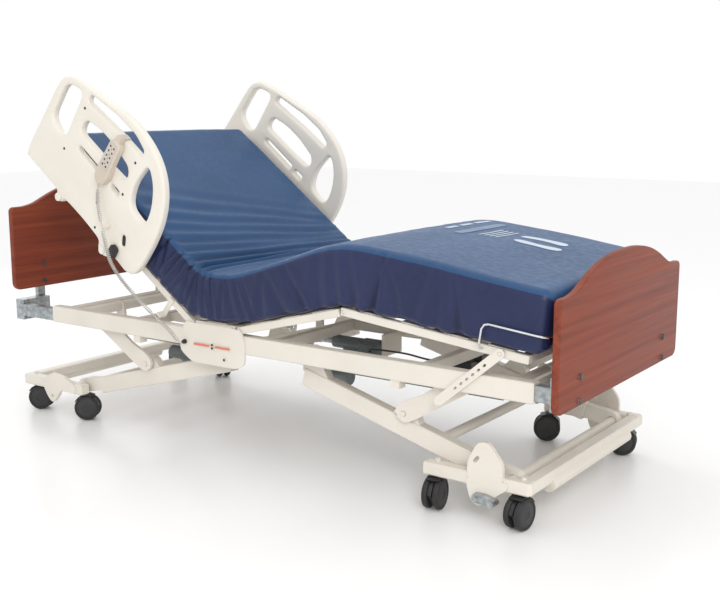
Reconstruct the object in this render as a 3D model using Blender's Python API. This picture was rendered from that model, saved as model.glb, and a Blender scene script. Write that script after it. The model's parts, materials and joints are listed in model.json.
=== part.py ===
"""Adjustable hospital bed, metres, +X foot end, -Y near side, +Z up, floor at z = 0."""
import bpy
import bmesh
import math
from mathutils import Matrix, Vector
from mathutils.geometry import tessellate_polygon

for old in list(bpy.data.objects):
    bpy.data.objects.remove(old, do_unlink=True)

# ---- driving dimensions ---------------------------------------------------------
SHIFT = (0.01638, 0.00875, 0.0)
GAP = 0.0003
BOARD_X = 1.132
BOARD_T = 0.022
BOARD_HALF = 0.457
RAIL_IN, RAIL_OUT = 0.395, 0.435
RAIL_X0, RAIL_X1 = -0.930, 1.050
FRAME_Z0, FRAME_Z1 = 0.370, 0.430
WEB, FLANGE = 0.004, 0.006
LIFT_Z = 0.400
BASE_Z = 0.120
LIFT_DX = 0.360
FOOT_H = 0.965
HEAD_H = -0.850
LEG_IN, LEG_OUT = 0.335, 0.375
LEG_H = 0.060
LINK_IN, LINK_OUT = 0.3795, 0.3900
CRANK_R = 0.085
CRANK_Y = 0.200
LIFT_MID_DEG = 35.5
WHEEL_R = 0.047
WHEEL_W = 0.019
WHEEL_GAP = 0.015
WHEEL_SIDES = 20
STEM_Y = 0.392
TRAIL = 0.020
DECK_Z = 0.4470
TUBE = 0.025
DECK_OUT = 0.434
BACK_X, THIGH_X = -0.215, 0.0
BACK_LEN, THIGH_LEN, CALF_LEN = 0.800, 0.430, 0.620
BACK_DEG, THIGH_DEG, CALF_REL_DEG = 37.0, 14.5, 20.5
MATT_Z0, MATT_Z1 = 0.022, 0.178
MATT_HALF = 0.452
SIDE_IN, SIDE_OUT = 0.4790, 0.5110
DROP_Y = 0.100
LEVER_R = 0.092
FOOT_STEMS = (-0.236, 0.044)
HEAD_STEMS = (-0.016, 0.250)
FOOT_CROSS, HEAD_CROSS = 0.660, -0.545

AXLE_Z = WHEEL_R * math.cos(math.pi / WHEEL_SIDES)
lift_angle = math.atan2((LIFT_Z - BASE_Z) / 2, LIFT_DX)


# ---- materials ------------------------------------------------------------------
def material(name, colour, rough=0.5, metal=0.0):
    m = bpy.data.materials.new(name)
    m.use_nodes = True
    b = m.node_tree.nodes["Principled BSDF"]
    b.inputs["Base Color"].default_value = (*colour, 1.0)
    b.inputs["Roughness"].default_value = rough
    b.inputs["Metallic"].default_value = metal
    return m


CREAM = material("cream_paint", (0.82, 0.78, 0.70), 0.42)
WOOD = material("cherry_board", (0.23, 0.055, 0.035), 0.40)
ZINC = material("zinc_steel", (0.42, 0.47, 0.49), 0.35, 0.9)
CHROME = material("chrome_wire", (0.70, 0.71, 0.72), 0.18, 1.0)
RAIL_PLASTIC = material("rail_plastic", (0.85, 0.81, 0.74), 0.48)
HANDSET_PLASTIC = material("handset_plastic", (0.80, 0.74, 0.66), 0.50)
KEYS = material("keypad_film", (0.52, 0.49, 0.47), 0.55)
BLACK = material("black_plastic", (0.020, 0.020, 0.022), 0.50)
TYRE = material("caster_tread", (0.055, 0.055, 0.058), 0.60)
MOTOR = material("motor_shell", (0.060, 0.065, 0.068), 0.45)
BLUE = material("mattress_cover", (0.055, 0.150, 0.330), 0.62)
COIL = material("coil_cord", (0.72, 0.69, 0.64), 0.50)


# ---- primitive closed bodies -------------------------------------------------------
def box(x0, x1, y0, y1, z0, z1, bevel=0.0, seg=1):
    bm = bmesh.new()
    bmesh.ops.create_cube(bm, size=1.0)
    for v in bm.verts:
        v.co.x = x0 if v.co.x < 0 else x1
        v.co.y = y0 if v.co.y < 0 else y1
        v.co.z = z0 if v.co.z < 0 else z1
    if bevel:
        bmesh.ops.bevel(bm, geom=bm.edges[:], offset=bevel, segments=seg, profile=0.5, affect="EDGES")
    return bm


def cyl(p0, p1, r, n=16, r1=None, bevel=0.0):
    a, b = Vector(p0), Vector(p1)
    bm = bmesh.new()
    bmesh.ops.create_cone(bm, cap_ends=True, segments=n, radius1=r, radius2=r if r1 is None else r1,
                          depth=(b - a).length)
    if bevel:
        caps = [e for e in bm.edges if abs(e.verts[0].co.z - e.verts[1].co.z) < 1e-6]
        bmesh.ops.bevel(bm, geom=caps, offset=bevel, segments=2, profile=0.5, affect="EDGES")
    q = Vector((0, 0, 1)).rotation_difference((b - a).normalized())
    bm.transform(Matrix.Translation((a + b) / 2) @ q.to_matrix().to_4x4())
    return bm


def lathe_y(profile, cx, cz, n=32):
    """Closed profile of (radius, y) pairs turned about a line along Y through (cx, cz)."""
    bm = bmesh.new()
    rings = []
    for k in range(n):
        a = 2 * math.pi * (k + 0.5) / n
        rings.append([bm.verts.new((cx + r * math.cos(a), y, cz + r * math.sin(a))) if r > 0 else None
                      for r, y in profile])
    axis = {}
    for i, (r, y) in enumerate(profile):
        if r <= 0:
            axis[i] = bm.verts.new((cx, y, cz))
    m = len(profile)
    for k in range(n):
        p, q = rings[k], rings[(k + 1) % n]
        for i in range(m):
            j = (i + 1) % m
            if i in axis and j in axis:
                continue
            a, b = axis.get(i, p[i]), axis.get(j, p[j])
            c, d = axis.get(j, q[j]), axis.get(i, q[i])
            face = [a, b] if b is c else [a, b, c]
            if b is c:
                face = [a, b, d]
            elif a is d:
                face = [a, b, c]
            else:
                face = [a, b, c, d]
            bm.faces.new(face)
    bmesh.ops.recalc_face_normals(bm, faces=bm.faces[:])
    return bm


def turn(points):
    area = 0.0
    for (x0, y0), (x1, y1) in zip(points, points[1:] + points[:1]):
        area += x0 * y1 - x1 * y0
    return area / 2


def offset_loop(points, d):
    """Move every corner by d to the left of the path (mitred)."""
    out = []
    n = len(points)
    for i in range(n):
        a, b, c = (Vector(points[(i + k) % n]) for k in (-1, 0, 1))
        u, v = (b - a).normalized(), (c - b).normalized()
        n1, n2 = Vector((-u.y, u.x)), Vector((-v.y, v.x))
        m = n1 + n2
        m = m / max(m.dot(n1) * 1.0, 0.35) if m.length > 1e-6 else n1
        out.append(tuple(b + m * d))
    return out


def plate(outline, lo, hi, plane="xz", holes=(), edge=0.0, seg=2):
    """Flat part with rounded rims: outline and holes in the plane, from lo to hi across it."""
    outer = list(outline) if turn(list(outline)) > 0 else list(outline)[::-1]
    loops = [outer]
    for h in holes:
        loops.append(list(h)[::-1] if turn(list(h)) > 0 else list(h))
    steps = [(edge, lo)]
    if edge:
        for k in range(1, seg + 1):
            a = math.pi / 2 * k / seg
            steps.append((edge * (1 - math.sin(a)), lo + edge * (1 - math.cos(a))))
        for k in range(seg, 0, -1):
            a = math.pi / 2 * k / seg
            steps.append((edge * (1 - math.sin(a)), hi - edge * (1 - math.cos(a))))
    steps.append((edge, hi))

    def place(p, t):
        if plane == "xz":
            return (p[0], t, p[1])
        if plane == "yz":
            return (t, p[0], p[1])
        return (p[0], p[1], t)

    bm = bmesh.new()
    levels = []
    for d, t in steps:
        ring = []
        for loop in loops:
            ring.append([bm.verts.new(place(p, t)) for p in offset_loop(loop, d)])
        levels.append(ring)
    for low, high in zip(levels, levels[1:]):
        for a, b in zip(low, high):
            for i in range(len(a)):
                j = (i + 1) % len(a)
                bm.faces.new((a[i], a[j], b[j], b[i]))
    flat = [[Vector((*p, 0.0)) for p in offset_loop(loop, edge)] for loop in loops]
    for level in (levels[0], levels[-1]):
        verts = [v for ring in level for v in ring]
        for tri in tessellate_polygon(flat):
            bm.faces.new([verts[k] for k in tri])
    bmesh.ops.recalc_face_normals(bm, faces=bm.faces[:])
    return bm


def arc(cx, cz, r, a0, a1, n):
    return [(cx + r * math.cos(math.radians(a0 + (a1 - a0) * k / n)),
             cz + r * math.sin(math.radians(a0 + (a1 - a0) * k / n))) for k in range(n + 1)]


def circle(cx, cz, r, n=16):
    return arc(cx, cz, r, 180.0 / n, 360 - 180.0 / n, n - 1)


def slot(cx, cz, length, r, deg, n=6):
    c, s = math.cos(math.radians(deg)), math.sin(math.radians(deg))
    h = length / 2
    return arc(cx + h * c, cz + h * s, r, deg - 90, deg + 90, n) + arc(cx - h * c, cz - h * s, r, deg + 90,
                                                                       deg + 270, n)


def round_poly(points, r, n=3):
    """Polygon with every corner replaced by a short arc of about radius r."""
    out = []
    m = len(points)
    for i in range(m):
        a, b, c = (Vector(points[(i + k) % m]) for k in (-1, 0, 1))
        u, v = (a - b), (c - b)
        d = min(r, u.length * 0.42, v.length * 0.42)
        p, q = b + u.normalized() * d, b + v.normalized() * d
        for k in range(n + 1):
            t = k / n
            out.append(tuple(p * (1 - t) ** 2 + b * 2 * t * (1 - t) + q * t * t))
    return out


def smooth_loop(points, per=4):
    """Closed Catmull-Rom curve through the points."""
    out = []
    m = len(points)
    for i in range(m):
        p0, p1, p2, p3 = (Vector(points[(i + k) % m]) for k in (-1, 0, 1, 2))
        for k in range(per):
            t = k / per
            out.append(tuple(0.5 * ((2 * p1) + (p2 - p0) * t + (2 * p0 - 5 * p1 + 4 * p2 - p3) * t * t
                                    + (3 * p1 - p0 - 3 * p2 + p3) * t ** 3)))
    return out


def bar(p0, p1, w, h, bevel=0.0):
    """Box tube between two points in an XZ plane: w across Y, h across the run."""
    a, b = Vector(p0), Vector(p1)
    d = b - a
    bm = box(-d.length / 2, d.length / 2, -w / 2, w / 2, -h / 2, h / 2, bevel, 1)
    ang = math.atan2(d.z, d.x)
    bm.transform(Matrix.Translation((a + b) / 2) @ Matrix.Rotation(-ang, 4, "Y"))
    return bm


def sweep(path, r, n=12):
    """Round rod through points with mitred bends, flat ends."""
    pts = [Vector(p) for p in path]
    bm = bmesh.new()
    rings = []
    t0 = (pts[1] - pts[0]).normalized()
    ref = Vector((0, 0, 1)) if abs(t0.z) < 0.9 else Vector((1, 0, 0))
    side = t0.cross(ref).normalized()
    last = t0
    for i, p in enumerate(pts):
        if i == 0:
            t = t0
        elif i == len(pts) - 1:
            t = (pts[-1] - pts[-2]).normalized()
        else:
            t = ((pts[i + 1] - p).normalized() + (p - pts[i - 1]).normalized()).normalized()
        side = last.rotation_difference(t) @ side
        side = (side - t * side.dot(t)).normalized()
        last = t
        up = t.cross(side)
        rings.append([bm.verts.new(p + (side * math.cos(a) + up * math.sin(a)) * r)
                      for a in (2 * math.pi * (k + 0.5) / n for k in range(n))])
    for a, b in zip(rings, rings[1:]):
        for k in range(n):
            bm.faces.new((a[k], a[(k + 1) % n], b[(k + 1) % n], b[k]))
    bm.faces.new(rings[0])
    bm.faces.new(rings[-1])
    bmesh.ops.recalc_face_normals(bm, faces=bm.faces[:])
    return bm


# ---- nodes ------------------------------------------------------------------------
space_origin = {}
scene_root = bpy.context.scene.collection
cutter_bin = bpy.data.collections.new("cutters")
scene_root.children.link(cutter_bin)


def to_object(name, bm, offset):
    bm.transform(Matrix.Translation(-Vector(offset)))
    if bm.calc_volume(signed=True) < 0:
        bmesh.ops.reverse_faces(bm, faces=bm.faces[:])
    me = bpy.data.meshes.new(name)
    bm.to_mesh(me)
    bm.free()
    return bpy.data.objects.new(name, me)


def node(name, mat, prims, at=(0, 0, 0), parent=None, rot_y=0.0, rot_z=0.0, cuts=(), local=False,
         smooth=True):
    """One piece. Shapes are given in the parent's space; local=True means in the piece's own."""
    own = (0, 0, 0) if local else at
    body = to_object(name, prims[0], own)
    scene_root.objects.link(body)
    body.data.materials.append(mat)
    base = Vector(at) - Vector(space_origin[parent]) if parent else Vector(at) + Vector(SHIFT)
    body.location = base
    body.rotation_euler = (0.0, rot_y, rot_z)
    if parent:
        body.parent = bpy.data.objects[parent]
    space_origin[name] = (0, 0, 0) if local else at
    steps = [("UNION", p) for p in prims[1:]] + [("DIFFERENCE", c) for c in cuts]
    for k, (kind, bm) in enumerate(steps):
        tool = to_object("%s_op%02d" % (name, k), bm, own)
        cutter_bin.objects.link(tool)
        tool.parent = body
        tool.hide_render = True
        tool.display_type = "WIRE"
        mod = body.modifiers.new("op%02d" % k, "BOOLEAN")
        mod.operation = kind
        mod.solver = "EXACT"
        mod.object = tool
    if smooth:
        for p in body.data.polygons:
            p.use_smooth = True
        body.data.set_sharp_from_angle(angle=math.radians(32))
    return body


SIDES = (("near", -1), ("far", 1))


def both(make):
    return [make(-1), make(1)]


def yspan(s, a, b):
    """Y limits of a strip between |y| = a and b on side s."""
    return (min(s * a, s * b), max(s * a, s * b))


def sbox(s, x0, x1, a, b, z0, z1, bevel=0.0):
    lo, hi = yspan(s, a, b)
    return box(x0, x1, lo, hi, z0, z1, bevel)


def spin(s, x, z, a, b, r, n=16):
    return cyl((x, s * a, z), (x, s * b, z), r, n)


# ---- upper frame ---------------------------------------------------------------
frame = []
for _, s in SIDES:
    frame.append(sbox(s, RAIL_X0, RAIL_X1, RAIL_IN, RAIL_OUT, FRAME_Z0, FRAME_Z1, 0.003))
for x in (-0.914, HEAD_CROSS, 0.10, FOOT_CROSS, 1.032):
    frame.append(box(x - 0.015, x + 0.015, -0.41, 0.41, 0.3805, 0.4165, 0.002))
frame.append(box(0.095, FOOT_CROSS + 0.005, 0.045, 0.071, 0.3835, 0.4135))
frame.append(box(HEAD_CROSS - 0.005, -0.341, -CRANK_Y - 0.015, -CRANK_Y + 0.015, 0.3835, 0.4135))
frame_cuts = []
for _, s in SIDES:
    lo, hi = yspan(s, RAIL_IN - 0.01, RAIL_OUT - WEB)
    for x0, x1 in ((-0.893, -0.566), (-0.524, 0.079), (0.121, 0.639), (0.681, 1.011)):
        frame_cuts.append(box(x0, x1, lo, hi, FRAME_Z0 + FLANGE, FRAME_Z1 - FLANGE))
upper = node("upper_frame", CREAM, frame, cuts=frame_cuts)
stud_prims = []
for hx in (FOOT_H, HEAD_H):
    for _, s in SIDES:
        stud_prims.append(spin(s, hx, LIFT_Z, 0.3780, RAIL_OUT - 0.001, 0.0080, 10))
for bx in (0.100, -0.346):
    stud_prims.append(box(bx - 0.006, bx + 0.006, -CRANK_Y - 0.022, -CRANK_Y + 0.022, 0.285, 0.392))
stud_prims.append(box(0.300, 0.312, -0.055, 0.050, 0.330, 0.405))
stud_prims.append(box(HEAD_CROSS - 0.012, HEAD_CROSS - 0.002, DROP_Y - 0.022, DROP_Y + 0.022, 0.325, 0.392))
for _, s in SIDES:
    for bx in (0.600, -0.485):
        stud_prims.append(sbox(s, bx - 0.016, bx + 0.016, 0.397, 0.431, 0.346, 0.374))
for k, bm in enumerate(stud_prims):
    tool = to_object("upper_frame_add%02d" % k, bm, (0, 0, 0))
    cutter_bin.objects.link(tool)
    tool.parent = upper
    tool.hide_render = True
    tool.display_type = "WIRE"
    mod = upper.modifiers.new("add%02d" % k, "BOOLEAN")
    mod.operation = "UNION"
    mod.solver = "EXACT"
    mod.object = tool


# ---- end boards and their brackets ------------------------------------------------
def board_outline(z_bottom, z_side, rise):
    half = [(0.0, 1.0), (0.070, 0.985), (0.140, 0.90), (0.205, 0.745), (0.265, 0.52), (0.315, 0.28),
            (0.355, 0.10), (0.395, 0.012)]
    top = [(-y, z_side + rise * f) for y, f in half[::-1]] + [(y, z_side + rise * f) for y, f in half[1:]]
    right = arc(BOARD_HALF - 0.018, z_side - 0.018, 0.018, 90, 0, 3)
    low_r = arc(BOARD_HALF - 0.028, z_bottom + 0.028, 0.028, 0, -90, 4)
    low_l = arc(-BOARD_HALF + 0.028, z_bottom + 0.028, 0.028, -90, -180, 4)
    left = arc(-BOARD_HALF + 0.018, z_side - 0.018, 0.018, 180, 90, 3)
    return top + right + low_r + low_l + left


BOLT_Y = 0.320
HEAD_BOLTS = (0.496, 0.563)
FOOT_BOLTS = (0.368, 0.436)
for name, sgn, zb, zs, bolts in (("foot_board", 1, 0.352, 0.668, FOOT_BOLTS),
                                 ("head_board", -1, 0.473, 0.789, HEAD_BOLTS)):
    holes = [circle(s * BOLT_Y, z, 0.0060, 8) for s in (-1, 1) for z in bolts]
    x0, x1 = sorted((sgn * BOARD_X, sgn * (BOARD_X - BOARD_T)))
    node(name, WOOD, [plate(board_outline(zb, zs, 0.089), x0, x1, "yz", holes, 0.005, 1)],
         at=(sgn * (BOARD_X - BOARD_T / 2), 0, (zb + zs) / 2))

for side, s in SIDES:
    lo, hi = yspan(s, 0.300, 0.430)
    inner = BOARD_X - BOARD_T
    prims = [sbox(s, RAIL_X1 + GAP, inner - 0.012, 0.398, 0.430, 0.377, 0.423, 0.002),
             box(inner - 0.016, inner - GAP, lo, hi, 0.354, 0.452, 0.002)]
    for z in FOOT_BOLTS:
        prims.append(cyl((inner - 0.006, s * BOLT_Y, z), (BOARD_X + 0.002, s * BOLT_Y, z), 0.0050, 8))
        prims.append(cyl((BOARD_X + GAP, s * BOLT_Y, z), (BOARD_X + 0.005, s * BOLT_Y, z), 0.0095, 8))
    node("foot_board_bracket_" + side, ZINC, prims, at=(RAIL_X1, s * 0.415, 0.40))
    out = -BOARD_X
    lo, hi = yspan(s, 0.302, 0.430)
    ulo, uhi = yspan(s, 0.302, 0.338)
    prims = [sbox(s, out - 0.014, RAIL_X0 - GAP, 0.396, 0.430, 0.372, 0.418, 0.002),
             box(out - 0.018, out + 0.026, lo, hi, 0.356, 0.434, 0.002),
             box(out - 0.018, out - GAP, ulo, uhi, 0.380, 0.600, 0.002)]
    for z in HEAD_BOLTS:
        prims.append(cyl((out - 0.008, s * BOLT_Y, z), (-inner + 0.002, s * BOLT_Y, z), 0.0050, 8))
        prims.append(cyl((-inner + GAP, s * BOLT_Y, z), (-inner + 0.005, s * BOLT_Y, z), 0.0095, 8))
    node("head_board_bracket_" + side, ZINC, prims, at=(RAIL_X0, s * 0.415, 0.40))


# ---- lifting gear, one set at each end ----------------------------------------------
def lift_set(end, sgn, hx, stems):
    """sgn = +1 for the foot end, -1 for the head end, whose parts face the other way."""
    ax, mx, bx = hx - sgn * 2 * LIFT_DX, hx - sgn * LIFT_DX, hx
    mz = (LIFT_Z + BASE_Z) / 2

    def px(d):
        return bx + sgn * d

    # link: two kinked plates on a torque tube, with the drive crank
    def link_outline():
        pts = [(-0.025, -0.006), (-0.030, 0.012), (-0.012, 0.034), (0.085, 0.078), (0.150, 0.142),
               (0.345, 0.166),
               (0.385, 0.160), (0.388, 0.120), (0.350, 0.112), (0.232, 0.104), (0.045, -0.010),
               (0.010, -0.028), (-0.012, -0.024)]
        return round_poly([(mx + sgn * u, mz + v) for u, v in pts], 0.02, 1)

    mid = math.radians(LIFT_MID_DEG)
    lean = mid - lift_angle
    pinx, pinz = hx - sgn * CRANK_R * math.sin(lean), LIFT_Z - CRANK_R * math.cos(lean)
    prims = []
    for _, s in SIDES:
        lo, hi = yspan(s, LINK_IN, LINK_OUT)
        holes = [circle(hx, LIFT_Z, 0.0088, 10), circle(mx, mz, 0.0092, 10)]
        prims.append(plate(link_outline(), lo, hi, "xz", holes))
    tube = lathe_y([(0.0110, -LINK_IN - 0.002), (0.0190, -LINK_IN - 0.002), (0.0190, LINK_IN + 0.002),
                    (0.0110, LINK_IN + 0.002)], hx, LIFT_Z, 12)
    crank = round_poly([(hx - 0.026, LIFT_Z + 0.02), (hx + 0.026, LIFT_Z + 0.02),
                        (pinx + 0.018, pinz - 0.016),
                        (pinx - 0.018, pinz - 0.016)], 0.012, 2)
    lo, hi = yspan(-1, CRANK_Y - 0.030, CRANK_Y - 0.020)
    prims.insert(1, tube)
    prims.append(plate(crank, lo, hi, "xz", [circle(hx, LIFT_Z, 0.0150, 10),
                                            slot(pinx, pinz, 0.008, 0.0080, 90, 3)]))
    node(end + "_link", CREAM, prims, at=(hx, 0, LIFT_Z), parent="upper_frame")

    # leg: two box tubes with hanger lugs at the sliding end and pivot bosses below
    slope = math.radians(15.2)
    cx, cz = px(-0.36), 0.2085

    def on_axis(u):
        return (cx + sgn * u * math.cos(slope), cz - u * math.sin(slope))

    prims = []
    cuts = []
    for _, s in SIDES:
        mid_y = s * (LEG_IN + LEG_OUT) / 2
        u0, u1 = -0.405, 0.272
        p0, p1 = on_axis(u0), on_axis(u1)
        prims.append(bar((p0[0], mid_y, p0[1]), (p1[0], mid_y, p1[1]), LEG_OUT - LEG_IN, LEG_H, 0.003))
        lo, hi = yspan(s, LEG_IN + 0.006, LEG_OUT - 0.004)
        q0, q1 = on_axis(-0.395), on_axis(-0.285)
        lug = [(q0[0], q0[1]), (q1[0], q1[1]), (ax + sgn * 0.026, LIFT_Z - 0.010),
               (ax + sgn * 0.018, LIFT_Z + 0.016),
               (ax - sgn * 0.018, LIFT_Z + 0.016), (ax - sgn * 0.028, LIFT_Z - 0.010)]
        prims.append(plate(round_poly(lug, 0.012, 1), lo, hi))
        q0, q1 = on_axis(-0.075), on_axis(0.055)
        boss = [(q0[0], q0[1]), (q1[0], q1[1]), (mx + sgn * 0.034, mz + 0.004),
                (mx + sgn * 0.012, mz + 0.028),
                (mx - sgn * 0.020, mz + 0.026)]
        prims.append(plate(round_poly(boss, 0.012, 1), lo, hi))
        q0 = on_axis(0.21)
        foot = [(q0[0], q0[1] + 0.020), (bx - sgn * 0.008, BASE_Z + 0.034),
                (bx + sgn * 0.026, BASE_Z + 0.020),
                (bx + sgn * 0.028, BASE_Z - 0.012), (bx + sgn * 0.010, BASE_Z - 0.0215),
                (bx - sgn * 0.010, BASE_Z - 0.0215), (q0[0], q0[1] - 0.020)]
        prims.append(plate(round_poly(foot, 0.014, 1), lo, hi))
        prims.append(spin(s, ax, LIFT_Z, LEG_OUT - 0.012, RAIL_OUT - WEB - 0.0120, 0.008, 10))
        prims.append(spin(s, ax, LIFT_Z, RAIL_IN + 0.003, RAIL_OUT - WEB - 0.0035, 0.0175, 12))
        prims.append(spin(s, mx, mz, LEG_OUT - 0.012, LINK_OUT + 0.0030, 0.0080, 10))
        cuts.append(spin(s, bx, BASE_Z, LEG_IN - 0.02, LEG_OUT + 0.02, 0.0182, 14))
    m0 = on_axis(0.10)
    prims.append(cyl((m0[0], -LEG_IN - 0.01, m0[1]), (m0[0], LEG_IN + 0.01, m0[1]), 0.016, 12))
    order = [prims[0], prims[-1]] + prims[1:-1]
    node(end + "_leg", CREAM, order, at=(mx, 0, mz), parent=end + "_link", cuts=cuts)

    # caster base: open frame of box tube with a round pivot shaft
    x_in, x_out = px(stems[0] - 0.034), px(stems[1] + 0.031)
    prims = []
    for _, s in SIDES:
        prims.append(sbox(s, min(x_in, x_out), max(x_in, x_out), 0.385, 0.425, 0.1010, 0.1390, 0.004))
    a, b = sorted((px(stems[1] - 0.006), px(stems[1] + 0.036)))
    prims.append(box(a, b, -0.420, 0.420, 0.1020, 0.1380, 0.004))
    prims.append(cyl((px(stems[1] + 0.026), -0.290, 0.098), (px(stems[1] + 0.026), 0.290, 0.098), 0.022, 12))
    prims.append(cyl((bx, -0.390, BASE_Z), (bx, 0.390, BASE_Z), 0.0170, 14))
    for _, s in SIDES:
        lo, hi = yspan(s, 0.4150, 0.4290)
        if end == "head":
            cheek = [(px(-0.020), 0.134), (px(-0.020), 0.106), (px(0.066), 0.104), (px(0.088), 0.070),
                     (px(0.112), 0.050), (px(0.136), 0.068), (px(0.160), 0.104), (px(0.166), 0.134),
                     (px(0.110), 0.168), (px(0.040), 0.160)]
            prims.append(plate(round_poly(cheek, 0.012, 2), lo, hi, "xz", [circle(px(0.112), 0.078,
                                                                                0.0064, 8)]))
            continue
        tower = [(px(-0.118), 0.120), (px(-0.118), 0.172), (px(-0.086), 0.232), (px(-0.052), 0.238),
                 (px(-0.006), 0.180), (px(-0.004), 0.120)]
        prims.append(plate(round_poly(tower, 0.016, 2), lo, hi, "xz",
                           [slot(px(-0.089), 0.182, 0.016, 0.0055, 50 * sgn, 3)]))
        lobe = [(px(-0.125), 0.125), (px(-0.108), 0.062), (px(-0.082), 0.042), (px(-0.056), 0.060),
                (px(0.012), 0.112), (px(0.012), 0.130)]
        prims.append(plate(round_poly(lobe, 0.016, 2), lo, hi, "xz",
                           [circle(px(-0.082), 0.070, 0.0064, 8)]))
    cuts = []
    for x in (px(stems[0]), px(stems[1])):
        for _, s in SIDES:
            prims.append(cyl((x, s * STEM_Y, 0.130), (x, s * STEM_Y, 0.1465), 0.0095, 6))
    for x in (px(stems[0]), px(stems[1])):
        for _, s in SIDES:
            cuts.append(cyl((x, s * STEM_Y, 0.080), (x, s * STEM_Y, 0.1250), 0.0070, 8))
    order = [prims[0], prims[2]] + [prims[1]] + prims[3:]
    node(end + "_base", CREAM, order, at=(bx, 0, BASE_Z), parent=end + "_leg", cuts=cuts)


lift_set("foot", 1, FOOT_H, FOOT_STEMS)
lift_set("head", -1, HEAD_H, HEAD_STEMS)


# ---- casters -----------------------------------------------------------------------
def caster(name, base, x, y, yaw):
    """Twin-wheel caster; built with its axle along Y and its trail along +X, then turned by yaw."""
    hood = name + "_hood"
    half = WHEEL_GAP / 2 - 0.0015
    fin = [(TRAIL + 0.012, AXLE_Z - 0.030), (TRAIL + 0.0445, AXLE_Z + 0.006)]
    fin += arc(TRAIL, AXLE_Z, 0.0440, 20, 158, 5)
    fin += [(-0.012, AXLE_Z + 0.010), (TRAIL - 0.010, AXLE_Z - 0.018)]
    prims = [plate(fin, y - half, y + half, "xz", [circle(TRAIL, AXLE_Z, 0.0054, 8)]),
             cyl((0.0, y, 0.0955), (0.0, y, 0.0997), 0.0125, 10),
             cyl((0.0, y, 0.085), (0.0, y, 0.1215), 0.0062, 8)]
    cap = plate(arc(TRAIL, AXLE_Z, 0.0515, 62, 150, 4) + arc(TRAIL, AXLE_Z, 0.0482, 150, 62, 4),
                y - 0.0215, y + 0.0215, "xz")
    prims.insert(1, cap)
    for p in prims:
        p.transform(Matrix.Translation((x, 0, 0)))
    node(hood, BLACK, prims, at=(x, y, 0.100), parent=base, rot_z=yaw)
    g, w, r = WHEEL_GAP / 2, WHEEL_GAP / 2 + WHEEL_W, WHEEL_R
    prof = [(0.0, -w + 0.0015), (r - 0.006, -w), (r, -w + 0.005), (r, -g), (0.0048, -g), (0.0048, g), (r, g),
            (r, w - 0.005), (r - 0.006, w), (0.0, w - 0.0015)]
    wheel = lathe_y([(a, b + y) for a, b in prof], x + TRAIL, AXLE_Z, WHEEL_SIDES)
    node(name + "_wheels", TYRE, [wheel], at=(x + TRAIL, y, AXLE_Z), parent=hood)


def caster_yaw(name):
    return math.radians({"foot_outer_near": -97, "foot_inner_near": -82, "foot_outer_far": 196,
                         "foot_inner_far": 205, "head_outer_near": 28, "head_inner_near": 33,
                         "head_outer_far": 160, "head_inner_far": 150}[name])


for end, sgn, hx, stems in (("foot", 1, FOOT_H, FOOT_STEMS), ("head", -1, HEAD_H, HEAD_STEMS)):
    for where, d in zip(("inner", "outer"), stems):
        for side, s in SIDES:
            label = "%s_%s_%s" % (end, where, side)
            caster("caster_" + label, end + "_base", hx + sgn * d, s * STEM_Y, caster_yaw(label))


# ---- deck sections -------------------------------------------------------------------
def hinge_bores(x):
    return [spin(s, x, 0.0, 0.395, 0.445, 0.0068, 10) for _, s in SIDES]


def deck_frame(x0, x1, slats, ends, extra=(), lo=None, hi=None):
    h = TUBE / 2
    prims = [sbox(s, x0 if lo is None else lo, x1 if hi is None else hi, DECK_OUT - TUBE, DECK_OUT, -h,
                  h, 0.002)
             for _, s in SIDES]
    bars = []
    for x in ends:
        bars.append(box(x - 0.0115, x + 0.0115, -0.420, 0.420, -h + 0.001, h - 0.001))
    for x, w in slats:
        bars.append(box(x - w / 2, x + w / 2, -0.425, 0.425, h - 0.0015, h + 0.0025))
    return [prims[0], bars[0], prims[1]] + bars[1:] + list(extra)


def wedge(x0b, x1b, x0t, x1t):
    pts = [(x0b, MATT_Z0), (x1b, MATT_Z0), (x1t, MATT_Z1), (x0t, MATT_Z1)]
    return plate(round_poly(pts, 0.020, 2), -MATT_HALF, MATT_HALF, "xz", (), 0.012, 1)


def lever(y, reach):
    """Slotted drive lever hanging below a hinge line; angle 0 points straight down at mid travel."""
    pts = round_poly([(-0.016, 0.004), (0.016, 0.004), (0.014, -reach - 0.034),
                      (-0.014, -reach - 0.034)], 0.010, 2)
    return pts, y


# seat section, with the side plates that carry both hinge lines
h = TUBE / 2
prims = deck_frame(BACK_X + 0.020, THIGH_X - 0.020, [(-0.108, 0.084)], [-0.165, -0.036])
for p in prims:
    p.transform(Matrix.Translation((0, 0, DECK_Z)))
for _, s in SIDES:
    lo, hi = yspan(s, 0.4353, 0.4413)
    pts = [(-0.262, 0.352), (-0.262, 0.402), (-0.236, 0.456), (-0.190, 0.452), (-0.020, 0.452),
           (0.014, 0.448),
           (0.026, 0.400), (0.026, 0.336), (-0.010, 0.318), (-0.210, 0.318)]
    prims.append(plate(round_poly(pts, 0.016, 2), lo, hi))
    for x in (BACK_X, THIGH_X):
        prims.append(spin(s, x, DECK_Z, 0.4060, 0.4400, 0.0060, 10))
    prims.append(sbox(s, -0.185, -0.030, 0.428, 0.4390, DECK_Z - 0.008, DECK_Z + 0.008))
    prims.append(sbox(s, -0.150, -0.060, 0.412, 0.430, FRAME_Z1 + GAP, DECK_Z - 0.006))
node("seat_section", CREAM, prims, at=(-0.108, 0, DECK_Z), parent="upper_frame")

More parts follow.
